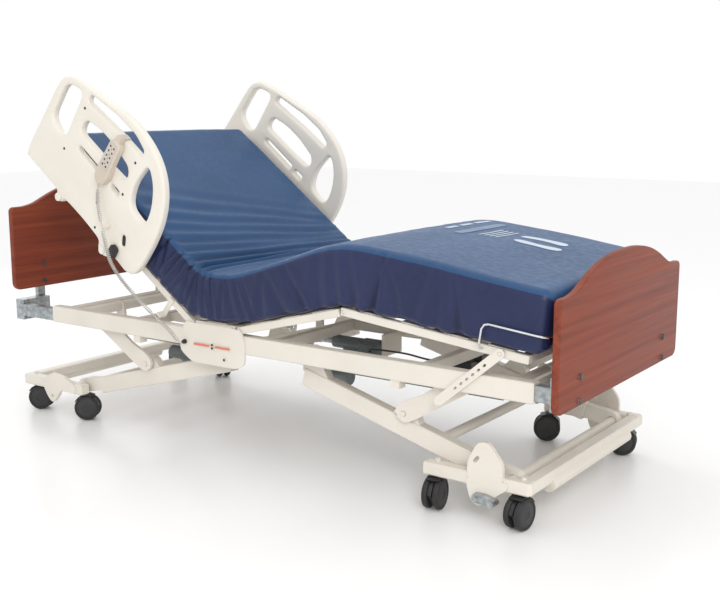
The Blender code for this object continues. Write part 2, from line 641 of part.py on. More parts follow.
# back section, modelled flat with its hinge at the origin, then raised
back_slats = [(-0.075, 0.070), (-0.215, 0.075), (-0.355, 0.075), (-0.495, 0.075), (-0.635, 0.075),
              (-0.750, 0.060)]
prims = deck_frame(-BACK_LEN, 0.010, back_slats, [-0.788, -0.030, -0.300, -0.560])
back_mid = math.radians(30.0)
pts, _ = lever(DROP_Y, LEVER_R)
back_lever = plate(pts, DROP_Y + 0.020, DROP_Y + 0.030, "xz", [slot(0.0, -LEVER_R - 0.007, 0.016,
                                                                    0.0085, 90, 3)])
back_lever.transform(Matrix.Rotation(-back_mid, 4, "Y"))
prims.append(back_lever)
stay = bar((-0.006, DROP_Y + 0.025, -0.012), (-0.040, DROP_Y + 0.025, -0.004), 0.010, 0.020)
prims.append(stay)
for _, s in SIDES:
    for x in (-0.409, -0.684):
        prims.append(sbox(s, x - 0.030, x + 0.030, DECK_OUT - 0.006, SIDE_IN - 0.0005, -0.010, 0.010, 0.002))
prims.append(box(-0.120, -0.100, -0.4395, -0.4300, -0.010, 0.010))
prims.append(box(-0.120, -0.100, -0.4395, -0.4360, -0.066, 0.010))
prims.append(box(-0.120, -0.100, -0.4650, -0.4360, -0.0625, -0.0540))
node("back_section", CREAM, prims, at=(BACK_X, 0, DECK_Z), parent="upper_frame",
     rot_y=math.radians(BACK_DEG), cuts=hinge_bores(0.0), local=True)

# thigh section
prims = deck_frame(-0.010, THIGH_LEN - 0.018, [(0.085, 0.080), (0.215, 0.080),
                                               (0.345, 0.080)], [0.030, 0.398])
thigh_mid = math.radians(15.0)
pts, _ = lever(-0.03, LEVER_R - 0.012)
thigh_lever = plate(pts, -0.010, 0.000, "xz", [slot(0.0, -LEVER_R - 0.0015, 0.004, 0.0085, 90, 3)])
thigh_lever.transform(Matrix.Rotation(thigh_mid, 4, "Y"))
prims.append(thigh_lever)
prims.append(bar((0.006, -0.005, -0.012), (0.040, -0.005, -0.004), 0.010, 0.020))
for _, s in SIDES:
    lo, hi = yspan(s, 0.3995, 0.4085)
    ear = round_poly([(0.370, -0.010), (0.370, 0.010), (THIGH_LEN + 0.012, 0.010),
                      (THIGH_LEN + 0.012, -0.010)], 0.006, 1)
    prims.append(plate(ear, lo, hi))
    prims.append(spin(s, THIGH_LEN, 0.0, 0.4020, DECK_OUT - 0.002, 0.0060, 10))
    prims.append(sbox(s, 0.372, 0.405, 0.4045, 0.4115, -0.009, 0.009))
node("thigh_section", CREAM, prims, at=(THIGH_X, 0, DECK_Z), parent="upper_frame",
     rot_y=-math.radians(THIGH_DEG), cuts=hinge_bores(0.0), local=True)

# calf section
calf_slats = [(0.095, 0.080), (0.240, 0.080), (0.385, 0.080), (0.530, 0.080)]
prims = deck_frame(-0.010, CALF_LEN, calf_slats, [0.604, 0.034, 0.310])
for _, s in SIDES:
    prims.append(spin(s, 0.535, 0.0, DECK_OUT - 0.004, 0.4425, 0.0055, 8))
node("calf_section", CREAM, prims, at=(THIGH_LEN, 0, 0), parent="thigh_section",
     rot_y=math.radians(CALF_REL_DEG), cuts=[spin(s, 0.0, 0.0, 0.405, 0.445, 0.0068, 10) for _, s in SIDES],
     local=True)

# ladder stays that prop the calf section
calf_abs = math.radians(THIGH_DEG - CALF_REL_DEG)
stay_deg = 40.5
for side, s in SIDES:
    lo, hi = yspan(s, 0.4372, 0.4422)
    along = math.radians(180 + stay_deg) - calf_abs
    dx, dz = math.cos(along), math.sin(along)
    nx, nz = -dz, dx

    def at_u(u, v):
        return (0.535 + dx * u + nx * v, dz * u + nz * v)

    w = 0.0145
    pts = [at_u(-0.014, -w), at_u(0.255, -w), at_u(0.268, -0.004), at_u(0.268, 0.004), at_u(0.255, w),
           at_u(-0.014, w)]
    holes = [circle(0.535, 0.0, 0.0064, 8)]
    for k in range(6):
        c = at_u(0.060 + 0.024 * k, 0.0)
        holes.append(slot(c[0], c[1], 0.007, 0.0035, math.degrees(along), 2))
    node("ladder_stay_" + side, CREAM, [plate(round_poly(pts, 0.008, 1), lo, hi, "xz", holes)],
         at=(0.535, s * 0.4397, 0.0), parent="calf_section")

# mattress keepers
for side, s in SIDES:
    y = s * 0.4590
    path = [(0.478, s * 0.424, 0.0), (0.478, s * 0.446, 0.004), (0.478, y, 0.020), (0.480, y, 0.062),
            (0.487, y, 0.074), (0.500, y, 0.079), (0.600, y, 0.079), (0.645, y, 0.079),
            (0.662, s * 0.456, 0.079),
            (0.6715, s * 0.444, 0.079), (0.6725, s * 0.425, 0.079), (0.6725, s * 0.312, 0.079),
            (0.6725, s * 0.297, 0.074), (0.6725, s * 0.290, 0.062), (0.6725, s * 0.290, 0.010),
            (0.668, s * 0.290, 0.002), (0.650, s * 0.290, 0.0), (0.6205, s * 0.290, 0.0)]
    node("mattress_keeper_" + side, CHROME, [sweep(path, 0.0034, 8)],
         at=(0.620, s * 0.290, 0.0), parent="calf_section",
         cuts=[box(0.40, 0.56, *yspan(s, 0.40, DECK_OUT + GAP), -0.03, 0.012),
               box(0.58, CALF_LEN + GAP, *yspan(s, 0.25, 0.36), -0.03, 0.03)])

# mattress, one soft block on each section
node("mattress_back", BLUE, [wedge(-0.820, -0.020, -0.820, -0.120)], at=(-0.42, 0, 0.10),
     parent="back_section")
seat_block = wedge(BACK_X + 0.020, -0.006, BACK_X + 0.120, -0.052)
seat_block.transform(Matrix.Translation((0, 0, DECK_Z)))
node("mattress_seat", BLUE, [seat_block], at=(-0.11, 0, DECK_Z + 0.10), parent="upper_frame")
node("mattress_thigh", BLUE, [wedge(0.006, THIGH_LEN - 0.004, 0.052, THIGH_LEN - 0.004)], at=(0.22, 0, 0.10),
     parent="thigh_section")
node("mattress_calf", BLUE, [wedge(0.004, 0.664, 0.004, 0.664)], at=(0.33, 0, 0.10), parent="calf_section")


# ---- drives ---------------------------------------------------------------------------
def drive(name, y, z, x_rear, x_nose, x_pin, pin_r, shell, bore, rod_at):
    """Linear drive along X: shell and outer tube fixed, rod with a cross pin sliding."""
    d = 1 if x_nose > x_rear else -1
    a, b = sorted((x_rear, x_rear + d * shell[0]))
    prims = [box(a, b, y - shell[1] / 2, y + shell[1] / 2, z - shell[3], z + shell[2], 0.012, 1),
             cyl((x_rear + d * 0.020, y, z), (x_nose, y, z), 0.0225, 16),
             cyl((x_rear + d * 0.030, y, z - shell[3] + 0.026),
                 (x_rear + d * (shell[0] + 0.060), y, z - shell[3] + 0.026), 0.0240, 16)]
    cuts = [cyl((x_nose + d * 0.01, y, z), (x_nose - d * bore, y, z), 0.0125, 12)]
    node(name + "_drive", MOTOR, prims, at=(x_rear, y, z), parent="upper_frame", cuts=cuts)
    prims = [cyl((x_nose - d * 0.140, y, z), (x_pin - d * 0.010, y, z), 0.0110, 12),
             box(*sorted((x_pin - d * 0.022, x_pin + d * 0.012)), y - 0.012, y + 0.012, z - 0.012, z + 0.012),
             cyl((x_pin, y + 0.008, z), (x_pin, y + 0.036, z), pin_r, 8)]
    node(name + "_rod", ZINC, prims, at=rod_at, parent=name + "_drive")


lean = math.radians(LIFT_MID_DEG) - lift_angle
pin_z = LIFT_Z - CRANK_R * 0.962
foot_pin = FOOT_H - CRANK_R * math.sin(lean)
head_pin = HEAD_H + CRANK_R * math.sin(lean)
drive("foot_lift", -CRANK_Y, pin_z, 0.1065, 0.840, foot_pin, 0.0040, (0.110, 0.062, 0.034, 0.062), 0.170,
      (foot_pin, -CRANK_Y, pin_z))
drive("head_lift", -CRANK_Y, pin_z, -0.3525, -0.725, head_pin, 0.0040, (0.130, 0.066, 0.034, 0.080), 0.170,
      (head_pin, -CRANK_Y, pin_z))
lever_z = DECK_Z - LEVER_R
drop = math.radians(BACK_DEG) - back_mid
back_pin = BACK_X - LEVER_R * math.tan(drop)
drive("back", DROP_Y, lever_z, HEAD_CROSS - 0.0018, -0.345, back_pin, 0.0045,
      (0.105, 0.060, 0.022, 0.050), 0.192,
      (back_pin, DROP_Y, lever_z))
rise = math.radians(THIGH_DEG) - thigh_mid
thigh_pin = THIGH_X + LEVER_R * math.tan(rise)
drive("thigh", -0.035, lever_z, 0.2997, 0.090, thigh_pin, 0.0045, (0.100, 0.058, 0.022, 0.046), 0.175,
      (thigh_pin, -0.035, lever_z))

# control box and the lead to it
node("control_box", BLACK, [box(0.560, 0.655, -0.075, 0.040, 0.3250, 0.3640, 0.004, 1),
                            box(0.646, 0.676, -0.040, 0.010, 0.3560, 0.3802)],
     at=(0.61, 0, 0.345), parent="upper_frame")


def smooth_path(points, count):
    """Open curve through hand-set points, read at even steps."""
    pts = [Vector(p) for p in points]
    dense = []
    for i in range(len(pts) - 1):
        p0, p1, p2, p3 = pts[max(i - 1, 0)], pts[i], pts[i + 1], pts[min(i + 2, len(pts) - 1)]
        for k in range(24):
            t = k / 24
            dense.append(0.5 * ((2 * p1) + (p2 - p0) * t + (2 * p0 - 5 * p1 + 4 * p2 - p3) * t * t
                                + (3 * p1 - p0 - 3 * p2 + p3) * t ** 3))
    dense.append(pts[-1])
    run = [0.0]
    for a, b in zip(dense, dense[1:]):
        run.append(run[-1] + (b - a).length)
    out = []
    k = 0
    for i in range(count):
        want = run[-1] * i / (count - 1)
        while k < len(run) - 2 and run[k + 1] < want:
            k += 1
        f = (want - run[k]) / max(run[k + 1] - run[k], 1e-9)
        out.append(dense[k].lerp(dense[k + 1], min(max(f, 0.0), 1.0)))
    return out


def cord(name, mat, pts, r, parent):
    at = tuple(pts[0])
    cu = bpy.data.curves.new(name, "CURVE")
    cu.dimensions = "3D"
    sp = cu.splines.new("POLY")
    sp.points.add(len(pts) - 1)
    for q, p in zip(sp.points, pts):
        q.co = (*(p - pts[0]), 1.0)
    cu.bevel_depth = r
    cu.bevel_resolution = 2
    cu.use_fill_caps = True
    cu.materials.append(mat)
    ob = bpy.data.objects.new(name, cu)
    scene_root.objects.link(ob)
    ob.location = Vector(at) - Vector(space_origin[parent])
    ob.parent = bpy.data.objects[parent]
    space_origin[name] = at
    return ob


lead_points = [(0.262, -0.0649, 0.344), (0.262, -0.082, 0.348), (0.290, -0.100, 0.362),
               (0.360, -0.104, 0.366), (0.430, -0.098, 0.364), (0.490, -0.080, 0.352),
               (0.530, -0.060, 0.346), (0.5580, -0.050, 0.346)]
cord("drive_lead", BLACK, smooth_path(lead_points, 26), 0.0032, "upper_frame")


# ---- assist rails --------------------------------------------------------------------
def rail_loops():
    """Outline and openings as (run from the hinge, height) pairs."""
    outer = [(0.905, 0.020), (0.912, 0.050), (0.909, 0.120), (0.905, 0.210), (0.902, 0.290), (0.893, 0.343),
             (0.862, 0.374), (0.815, 0.389), (0.735, 0.405), (0.655, 0.418), (0.580, 0.430), (0.515, 0.434),
             (0.440, 0.424), (0.375, 0.402), (0.318, 0.364), (0.272, 0.306), (0.245, 0.236), (0.235, 0.165),
             (0.234, 0.095), (0.238, 0.040), (0.252, 0.008), (0.285, -0.008), (0.330, -0.006),
             (0.366, -0.008),
             (0.384, -0.030), (0.409, -0.038), (0.434, -0.028), (0.448, -0.006), (0.500, 0.000),
             (0.580, 0.002),
             (0.655, -0.002), (0.668, -0.020), (0.684, -0.026), (0.702, -0.018), (0.714, 0.002),
             (0.800, 0.004),
             (0.870, 0.006)]
    outer = smooth_loop(outer, 1)
    hand = round_poly([(0.868, 0.345), (0.780, 0.372), (0.772, 0.196), (0.800, 0.178),
                       (0.868, 0.200)], 0.026, 3)
    top = round_poly([(0.748, 0.356), (0.748, 0.384), (0.600, 0.404), (0.500, 0.404), (0.438, 0.384),
                      (0.440, 0.362), (0.560, 0.364)], 0.012, 1)
    mid = round_poly([(0.722, 0.300), (0.722, 0.246), (0.560, 0.243), (0.466, 0.246), (0.452, 0.268),
                      (0.470, 0.294), (0.560, 0.312), (0.640, 0.314)], 0.016, 1)
    low_a = slot(0.610, 0.196, 0.155, 0.0090, 2, 4)
    low_b = slot(0.478, 0.190, 0.030, 0.0090, 2, 4)
    grip = round_poly([(0.400, 0.362), (0.346, 0.320), (0.308, 0.250), (0.300, 0.180), (0.392, 0.188),
                       (0.416, 0.262)], 0.024, 3)
    oval = slot(0.349, 0.074, 0.020, 0.0085, 62, 3)
    return outer, [hand, top, mid, low_a, low_b, grip, oval]


for side, s in SIDES:
    outer, holes = rail_loops()
    lo, hi = yspan(s, SIDE_IN, SIDE_OUT)
    flip = [(-x, z) for x, z in outer]
    holes = [[(-x, z) for x, z in loop] for loop in holes]
    prims = [plate(flip, lo, hi, "xz", holes, 0.0062, 1)]
    if side == "near":
        prims.append(box(-0.437, -0.423, -SIDE_OUT - 0.0200, -SIDE_OUT + 0.006, 0.062, 0.076))
    node("side_rail_" + side, RAIL_PLASTIC, prims,
         at=(-0.547, (lo + hi) / 2, 0.0), parent="back_section")
    lo, hi = yspan(s, SIDE_OUT + GAP, SIDE_OUT + 0.014)
    knob = round_poly([(-0.341, -0.006), (-0.343, 0.040), (-0.376, 0.042), (-0.379, -0.006)], 0.008, 1)
    node("rail_latch_" + side, BLACK, [plate(knob, lo, hi, "xz", (), 0.002, 1)],
         at=(-0.360, s * SIDE_OUT, 0.018), parent="side_rail_" + side)

# ---- handset on the near rail -----------------------------------------------------
face = -(SIDE_OUT + GAP)
body = round_poly([(-0.504, 0.205), (-0.510, 0.342), (-0.522, 0.352), (-0.549, 0.352), (-0.561, 0.340),
                   (-0.565, 0.205),
                   (-0.552, 0.180), (-0.538, 0.174), (-0.530, 0.174), (-0.516, 0.180)], 0.008, 1)
pocket = round_poly([(-0.514, 0.240), (-0.517, 0.338), (-0.553, 0.338), (-0.556, 0.240)], 0.006, 1)
shell = plate(body, face - 0.030, face, "xz", (), 0.0055, 1)
hook = box(-0.546, -0.524, face - 0.004, face + 0.020, 0.3640, 0.3700)
neck = box(-0.546, -0.524, face - 0.024, face - 0.0005, 0.3450, 0.3700, 0.001)
key_cut = plate(pocket, face - 0.040, face - 0.0280, "xz")
node("handset", HANDSET_PLASTIC, [shell, neck, hook], at=(-0.535, face - 0.015, 0.26),
     parent="side_rail_near", cuts=[key_cut])
film = round_poly([(-0.5146, 0.2406), (-0.5176, 0.3374), (-0.5524, 0.3374), (-0.5554, 0.2406)], 0.006, 1)
prims = [plate(film, face - 0.0304, face - 0.0292, "xz")]
for i in range(5):
    for x in (-0.526, -0.544):
        z = 0.252 + 0.0185 * i
        prims.append(cyl((x, face - 0.0300, z), (x, face - 0.0312, z), 0.0046, 8))
node("handset_keys", KEYS, prims, at=(-0.535, face - 0.030, 0.29), parent="handset")

# curly cord: from the handset down the back to a socket on the frame side plate
cb, sb = math.cos(math.radians(BACK_DEG)), math.sin(math.radians(BACK_DEG))


def deck_point(run, y, t):
    """World place of a point given along and above the raised back section."""
    return (BACK_X - run * cb + t * sb, y, DECK_Z + run * sb + t * cb)


cord_points = [deck_point(0.534, face - 0.0145, 0.1735), deck_point(0.528, face - 0.0150, 0.150),
               deck_point(0.490, face - 0.0200, 0.110), deck_point(0.430, face - 0.0285, 0.070),
               deck_point(0.380, face - 0.0315, 0.035), deck_point(0.330, face - 0.0300, 0.000),
               deck_point(0.270, face - 0.0120, -0.030), deck_point(0.200, -0.500, -0.050),
               deck_point(0.110, -0.484, -0.058), (-0.275, -0.478, 0.424), (-0.244, -0.474, 0.394),
               (-0.238, -0.462, 0.384), (-0.238, -0.4440, 0.384)]
cord_line = smooth_path(cord_points, 40)
tab_point = Vector(deck_point(0.110, -0.484, -0.058))
cord_split = min(range(len(cord_line)), key=lambda i: (cord_line[i] - tab_point).length)
below = cord_line[cord_split] + (cord_line[cord_split + 1] - cord_line[cord_split]).normalized() * 0.001
cord("handset_cord_upper", COIL, cord_line[:cord_split + 1], 0.0070, "upper_frame")
cord("handset_cord_lower", COIL, [below] + cord_line[cord_split + 1:], 0.0070, "upper_frame")

# ---- brake pedal on the near foot base ----------------------------------------------
bx = FOOT_H - 0.082
prims = [cyl((bx, -0.4150, 0.070), (bx, -0.4450, 0.070), 0.0056, 8),
         plate(round_poly([(bx - 0.014, 0.058), (bx - 0.014, 0.084), (bx + 0.020, 0.088), (bx + 0.070, 0.078),
                           (bx + 0.070, 0.064), (bx + 0.016, 0.056)], 0.008, 1), -0.4400, -0.4295, "xz",
                           (), 0.0, 1),
         cyl((bx + 0.058, -0.4360, 0.071), (bx + 0.058, -0.4640, 0.071), 0.0105, 12)]
node("brake_pedal", ZINC, prims, at=(bx, -0.430, 0.070), parent="foot_base")
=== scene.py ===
"""Looks of the adjustable hospital bed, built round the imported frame.

Metres, +X towards the foot end, +Y to the far side, +Z up, floor at z = 0.
"""
import json
import math
import random

import bmesh
import bpy
import numpy as np
from mathutils import Matrix, Vector, noise

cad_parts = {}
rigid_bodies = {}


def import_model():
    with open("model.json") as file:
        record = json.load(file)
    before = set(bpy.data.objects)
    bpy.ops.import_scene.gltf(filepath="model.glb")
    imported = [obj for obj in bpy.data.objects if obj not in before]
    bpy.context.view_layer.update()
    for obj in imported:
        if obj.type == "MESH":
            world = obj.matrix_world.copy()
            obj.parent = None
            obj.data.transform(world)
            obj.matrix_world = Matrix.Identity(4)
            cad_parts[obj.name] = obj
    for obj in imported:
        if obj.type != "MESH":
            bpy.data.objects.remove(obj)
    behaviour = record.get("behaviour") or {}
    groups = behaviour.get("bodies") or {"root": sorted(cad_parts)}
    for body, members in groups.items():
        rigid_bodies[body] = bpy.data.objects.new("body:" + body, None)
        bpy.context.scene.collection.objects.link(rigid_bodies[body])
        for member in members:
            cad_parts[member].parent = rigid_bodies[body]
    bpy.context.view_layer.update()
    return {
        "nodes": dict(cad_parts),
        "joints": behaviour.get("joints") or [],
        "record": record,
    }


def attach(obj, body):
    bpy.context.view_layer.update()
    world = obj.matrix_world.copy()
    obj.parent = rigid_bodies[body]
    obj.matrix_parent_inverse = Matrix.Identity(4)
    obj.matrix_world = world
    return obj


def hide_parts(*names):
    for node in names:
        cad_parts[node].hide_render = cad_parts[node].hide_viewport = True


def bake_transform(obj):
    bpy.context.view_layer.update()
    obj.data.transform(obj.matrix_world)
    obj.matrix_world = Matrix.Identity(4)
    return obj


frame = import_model()

# ---- places read from the frame ----
JOINTS = {j["name"]: j for j in frame["joints"]}
HIP = Vector(JOINTS["back_raise"]["pos_m"])
SEAT = Vector(JOINTS["knee_raise"]["pos_m"])
KNEE = Vector(JOINTS["knee_fold"]["pos_m"])
FRAME_X = SEAT.x
MID_Y = SEAT.y
BACK_SLOPE, SEAT_SLOPE = math.radians(-37.0), 0.0
THIGH_SLOPE, CALF_SLOPE = math.radians(14.5), math.radians(-6.0)
BACK_RUN, CALF_RUN, THIGH_RUN = 0.818, 0.663, 0.43
SIDES = (("near", -1), ("far", 1))


def on_deck(origin, slope, run, y, height):
    """Place at a distance along a deck section and a height square to it."""
    return Vector((origin.x + math.cos(slope) * run - math.sin(slope) * height, MID_Y + y,
                   origin.z + math.sin(slope) * run + math.cos(slope) * height))


# ---- camera, floor and light ----
CAMERA_LENS, CAMERA_SENSOR = 53.6, 36.0
CAMERA_OUT, CAMERA_ASIDE, CAMERA_HIGH = 2.282, -2.986, 1.160
CAMERA_DOWN, CAMERA_TURN = 10.19, 35.257


def set_camera():
    data = bpy.data.cameras.new("camera")
    data.lens = CAMERA_LENS
    data.sensor_width = CAMERA_SENSOR
    data.clip_end = 60.0
    camera = bpy.data.objects.new("camera", data)
    camera.location = (CAMERA_OUT + FRAME_X, CAMERA_ASIDE + MID_Y, CAMERA_HIGH)
    camera.rotation_euler = (math.radians(90.0 - CAMERA_DOWN), 0.0, math.radians(CAMERA_TURN))
    bpy.context.scene.collection.objects.link(camera)
    bpy.context.scene.camera = camera


def area_light(name, place, target, size, power, colour=(1.0, 1.0, 1.0)):
    data = bpy.data.lights.new(name, "AREA")
    data.shape = "RECTANGLE"
    data.size, data.size_y = size
    data.energy = power
    data.color = colour
    light = bpy.data.objects.new(name, data)
    light.location = place
    light.rotation_euler = (Vector(target) - Vector(place)).to_track_quat("-Z", "Y").to_euler()
    bpy.context.scene.collection.objects.link(light)


def set_stage():
    mesh = bpy.data.meshes.new("floor")
    half = 14.0
    corners = [(-half, -half, 0), (half, -half, 0), (half, half, 0), (-half, half, 0)]
    mesh.from_pydata(corners, [], [(0, 1, 2, 3)])
    floor = bpy.data.objects.new("floor", mesh)
    floor.location.z = -0.0005
    bpy.context.scene.collection.objects.link(floor)
    s = Shade("studio_floor")
    s.set("Base Color", (0.93, 0.93, 0.93, 1.0))
    s.set("Roughness", 0.30)
    mesh.materials.append(s.material)
    world = bpy.data.worlds.new("studio")
    world.use_nodes = True
    sky = world.node_tree.nodes["Background"]
    sky.inputs["Color"].default_value = (1.0, 1.0, 1.0, 1.0)
    sky.inputs["Strength"].default_value = 1.0
    bpy.context.scene.world = world
    area_light("key", (3.4, -3.4, 2.6), (-0.2, 0.0, 0.6), (1.6, 1.6), 74.0, (1.0, 0.985, 0.96))
    area_light("top", (-0.6, 0.4, 3.6), (0.0, 0.0, 0.5), (2.4, 1.6), 9.0)
    area_light("back", (-3.2, 1.8, 2.4), (-0.2, 0.0, 0.6), (1.6, 2.0), 16.0, (0.97, 0.985, 1.0))
    bpy.context.scene.view_settings.view_transform = "Standard"


# ---- materials ----
class Shade:
    """A material with a Principled shader, and short calls for the nodes in front of it."""

    def __init__(self, name):
        self.material = bpy.data.materials.new(name)
        self.material.use_nodes = True
        self.nodes = self.material.node_tree.nodes
        self.links = self.material.node_tree.links
        self.shader = self.nodes["Principled BSDF"]
        self.coord = self.nodes.new("ShaderNodeTexCoord").outputs["Object"]

    def set(self, socket, value):
        self.shader.inputs[socket].default_value = value

    def put(self, value, socket):
        self.links.new(value, self.shader.inputs[socket])

    def node(self, kind, **inputs):
        made = self.nodes.new(kind)
        for key, value in inputs.items():
            socket = made.inputs[key.replace("_", " ")]
            if isinstance(value, bpy.types.NodeSocket):
                self.links.new(value, socket)
            else:
                socket.default_value = value
        return made

    def stretched(self, scale, turn=(0.0, 0.0, 0.0), source=None):
        made = self.node("ShaderNodeMapping", Scale=scale, Rotation=turn)
        self.links.new(source or self.coord, made.inputs["Vector"])
        return made.outputs["Vector"]

    def noise(self, scale, detail=3.0, vector=None, rough=0.5):
        made = self.node("ShaderNodeTexNoise", Scale=scale, Detail=detail, Roughness=rough)
        self.links.new(vector or self.coord, made.inputs["Vector"])
        return made.outputs["Fac"]

    def ramp(self, value, stops):
        made = self.node("ShaderNodeValToRGB", Fac=value)
        bar = made.color_ramp
        while len(bar.elements) < len(stops):
            bar.elements.new(0.5)
        for element, (place, colour) in zip(bar.elements, stops):
            element.position = place
            element.color = (*colour, 1.0)
        return made.outputs["Color"]

    def grey(self, value, low, high, start=0.0, end=1.0):
        made = self.node("ShaderNodeMapRange", Value=value)
        made.inputs["From Min"].default_value = start
        made.inputs["From Max"].default_value = end
        made.inputs["To Min"].default_value = low
        made.inputs["To Max"].default_value = high
        return made.outputs["Result"]

    def math(self, kind, a, b):
        made = self.nodes.new("ShaderNodeMath")
        made.operation = kind
        for socket, value in zip(made.inputs, (a, b)):
            if isinstance(value, bpy.types.NodeSocket):
                self.links.new(value, socket)
            else:
                socket.default_value = value
        return made.outputs["Value"]

    def bump(self, height, distance, strength=1.0, under=None):
        made = self.node("ShaderNodeBump", Height=height, Distance=distance, Strength=strength)
        if under is not None:
            self.links.new(under, made.inputs["Normal"])
        self.put(made.outputs["Normal"], "Normal")
        return made.outputs["Normal"]


def powder_coat(name, light, dark, rough=0.38):
    s = Shade(name)
    s.put(s.ramp(s.noise(5.0, 4.0), [(0.35, dark), (0.65, light)]), "Base Color")
    s.put(s.grey(s.noise(38.0, 3.0), rough - 0.05, rough + 0.08), "Roughness")
    s.bump(s.noise(620.0, 2.0), 0.00018, 0.55)
    s.set("Specular IOR Level", 0.45)
    return s.material


def moulded(name, light, dark, rough=0.45, grain=0.00012, size=900.0):
    s = Shade(name)
    s.put(s.ramp(s.noise(9.0, 3.0), [(0.3, dark), (0.7, light)]), "Base Color")
    s.put(s.grey(s.noise(60.0, 2.0), rough - 0.06, rough + 0.06), "Roughness")
    s.bump(s.noise(size, 1.5), grain, 0.6)
    return s.material


def cherry(name):
    s = Shade(name)
    long_grain = s.stretched((46.0, 0.9, 46.0))
    fine_grain = s.stretched((260.0, 5.0, 260.0))
    wave = s.noise(1.0, 7.0, long_grain, 0.62)
    pores = s.noise(1.0, 3.0, fine_grain, 0.55)
    mixed = s.math("ADD", s.math("MULTIPLY", wave, 0.72), s.math("MULTIPLY", pores, 0.28))
    s.put(s.ramp(mixed, [(0.36, (0.140, 0.026, 0.013)), (0.47, (0.195, 0.038, 0.018)),
                         (0.55, (0.225, 0.046, 0.021)), (0.66, (0.275, 0.064, 0.031))]), "Base Color")
    s.put(s.grey(pores, 0.40, 0.54, 0.3, 0.7), "Roughness")
    s.bump(pores, 0.00008, 0.4)
    s.set("Specular IOR Level", 0.30)
    return s.material


def zinc(name, light, dark, rough=0.34):
    s = Shade(name)
    s.put(s.ramp(s.noise(70.0, 5.0), [(0.35, dark), (0.68, light)]), "Base Color")
    s.put(s.grey(s.noise(24.0, 4.0), rough - 0.08, rough + 0.14), "Roughness")
    s.bump(s.noise(1.0, 2.0, s.stretched((60.0, 700.0, 700.0))), 0.00006, 0.5)
    s.set("Metallic", 0.85)
    return s.material


def cover_cloth(name, light, dark, sheen):
    """Coated stretch fabric: fine knit, soft mottling, a low sheen, and painted shade that darkens the colour
    in the creases.
    """
    s = Shade(name)
    uv = s.nodes.new("ShaderNodeUVMap")
    uv.uv_map = "cloth"
    weave = uv.outputs["UV"]
    mottle = s.noise(2.6, 5.0, weave)
    fine = s.noise(46.0, 3.0, weave)
    mixed = s.math("ADD", s.math("MULTIPLY", mottle, 0.7), s.math("MULTIPLY", fine, 0.3))
    colour = s.ramp(mixed, [(0.32, dark), (0.68, light)])
    # painted shade: the "fold" attribute (crease depth) mixes the colour towards a dark copy of it in the
    # creases
    crease_shade_mask = s.nodes.new("ShaderNodeAttribute")
    crease_shade_mask.attribute_name = "fold"
    shaded = s.nodes.new("ShaderNodeMix")
    shaded.data_type = "RGBA"
    s.links.new(crease_shade_mask.outputs["Fac"], shaded.inputs["Factor"])
    s.links.new(colour, shaded.inputs["A"])
    shaded.inputs["B"].default_value = (*(c * 0.30 for c in dark), 1.0)
    s.put(shaded.outputs["Result"], "Base Color")
    s.put(s.grey(fine, 0.36, 0.52, 0.3, 0.7), "Roughness")
    knit = s.node("ShaderNodeTexVoronoi", Scale=1.0)
    s.links.new(s.stretched((760.0, 760.0, 760.0), (0.0, 0.0, 0.785), weave), knit.inputs["Vector"])
    first = s.bump(knit.outputs["Distance"], 0.00022, 0.35)
    s.bump(s.noise(120.0, 4.0, weave), 0.0009, 0.22, first)
    s.set("Sheen Weight", 0.12)
    s.set("Sheen Roughness", 0.45)
    s.set("Sheen Tint", (*sheen, 1.0))
    s.set("Specular IOR Level", 0.32)
    return s.material


def rubber(name, colour, rough=0.62, grain=0.00025, size=500.0):
    s = Shade(name)
    dark = tuple(c * 0.7 for c in colour)
    s.put(s.ramp(s.noise(30.0, 4.0), [(0.3, dark), (0.7, colour)]), "Base Color")
    s.put(s.grey(s.noise(80.0, 2.0), rough - 0.1, rough + 0.08), "Roughness")
    s.bump(s.noise(size, 2.0), grain, 0.5)
    return s.material


def chrome(name):
    s = Shade(name)
    s.put(s.ramp(s.noise(20.0, 3.0), [(0.3, (0.60, 0.61, 0.63)), (0.7, (0.80, 0.81, 0.83))]), "Base Color")
    s.put(s.grey(s.noise(45.0, 3.0), 0.10, 0.26), "Roughness")
    s.set("Metallic", 1.0)
    return s.material


MATERIALS = {
    "cream_paint": powder_coat("cream_paint", (0.76, 0.715, 0.640), (0.715, 0.665, 0.590)),
    "cherry_board": cherry("cherry_board"),
    "zinc_steel": zinc("zinc_steel", (0.50, 0.53, 0.535), (0.27, 0.30, 0.31)),
    "chrome_wire": chrome("chrome_wire"),
    "rail_plastic": moulded("rail_plastic", (0.80, 0.760, 0.685), (0.77, 0.725, 0.645), 0.42),
    "handset_plastic": moulded("handset_plastic", (0.62, 0.545, 0.46), (0.58, 0.505, 0.42), 0.46),
    "keypad_film": moulded("keypad_film", (0.60, 0.54, 0.48), (0.55, 0.49, 0.435), 0.5),
    "black_plastic": moulded("black_plastic", (0.022, 0.022, 0.024), (0.012, 0.012, 0.013), 0.42,
                             0.0002, 600.0),
    "caster_tread": rubber("caster_tread", (0.022, 0.021, 0.022)),
    "motor_shell": moulded("motor_shell", (0.175, 0.205, 0.210), (0.120, 0.145, 0.150), 0.44),
    "mattress_cover": cover_cloth("mattress_cover", (0.023, 0.078, 0.190), (0.014, 0.052, 0.136),
                                  (0.30, 0.50, 0.85)),
    "coil_cord": rubber("coil_cord", (0.62, 0.60, 0.56), 0.45, 0.0001, 300.0),
}
NAVY = cover_cloth("mattress_side", (0.020, 0.029, 0.090), (0.011, 0.017, 0.058), (0.35, 0.35, 0.70))
HUB_GREY = moulded("caster_hub", (0.036, 0.035, 0.037), (0.020, 0.020, 0.021), 0.5)
MARK_WHITE = moulded("mark_white", (0.62, 0.69, 0.78), (0.52, 0.60, 0.70), 0.5)
MARK_GREY = moulded("mark_grey", (0.19, 0.27, 0.40), (0.15, 0.225, 0.35), 0.5)
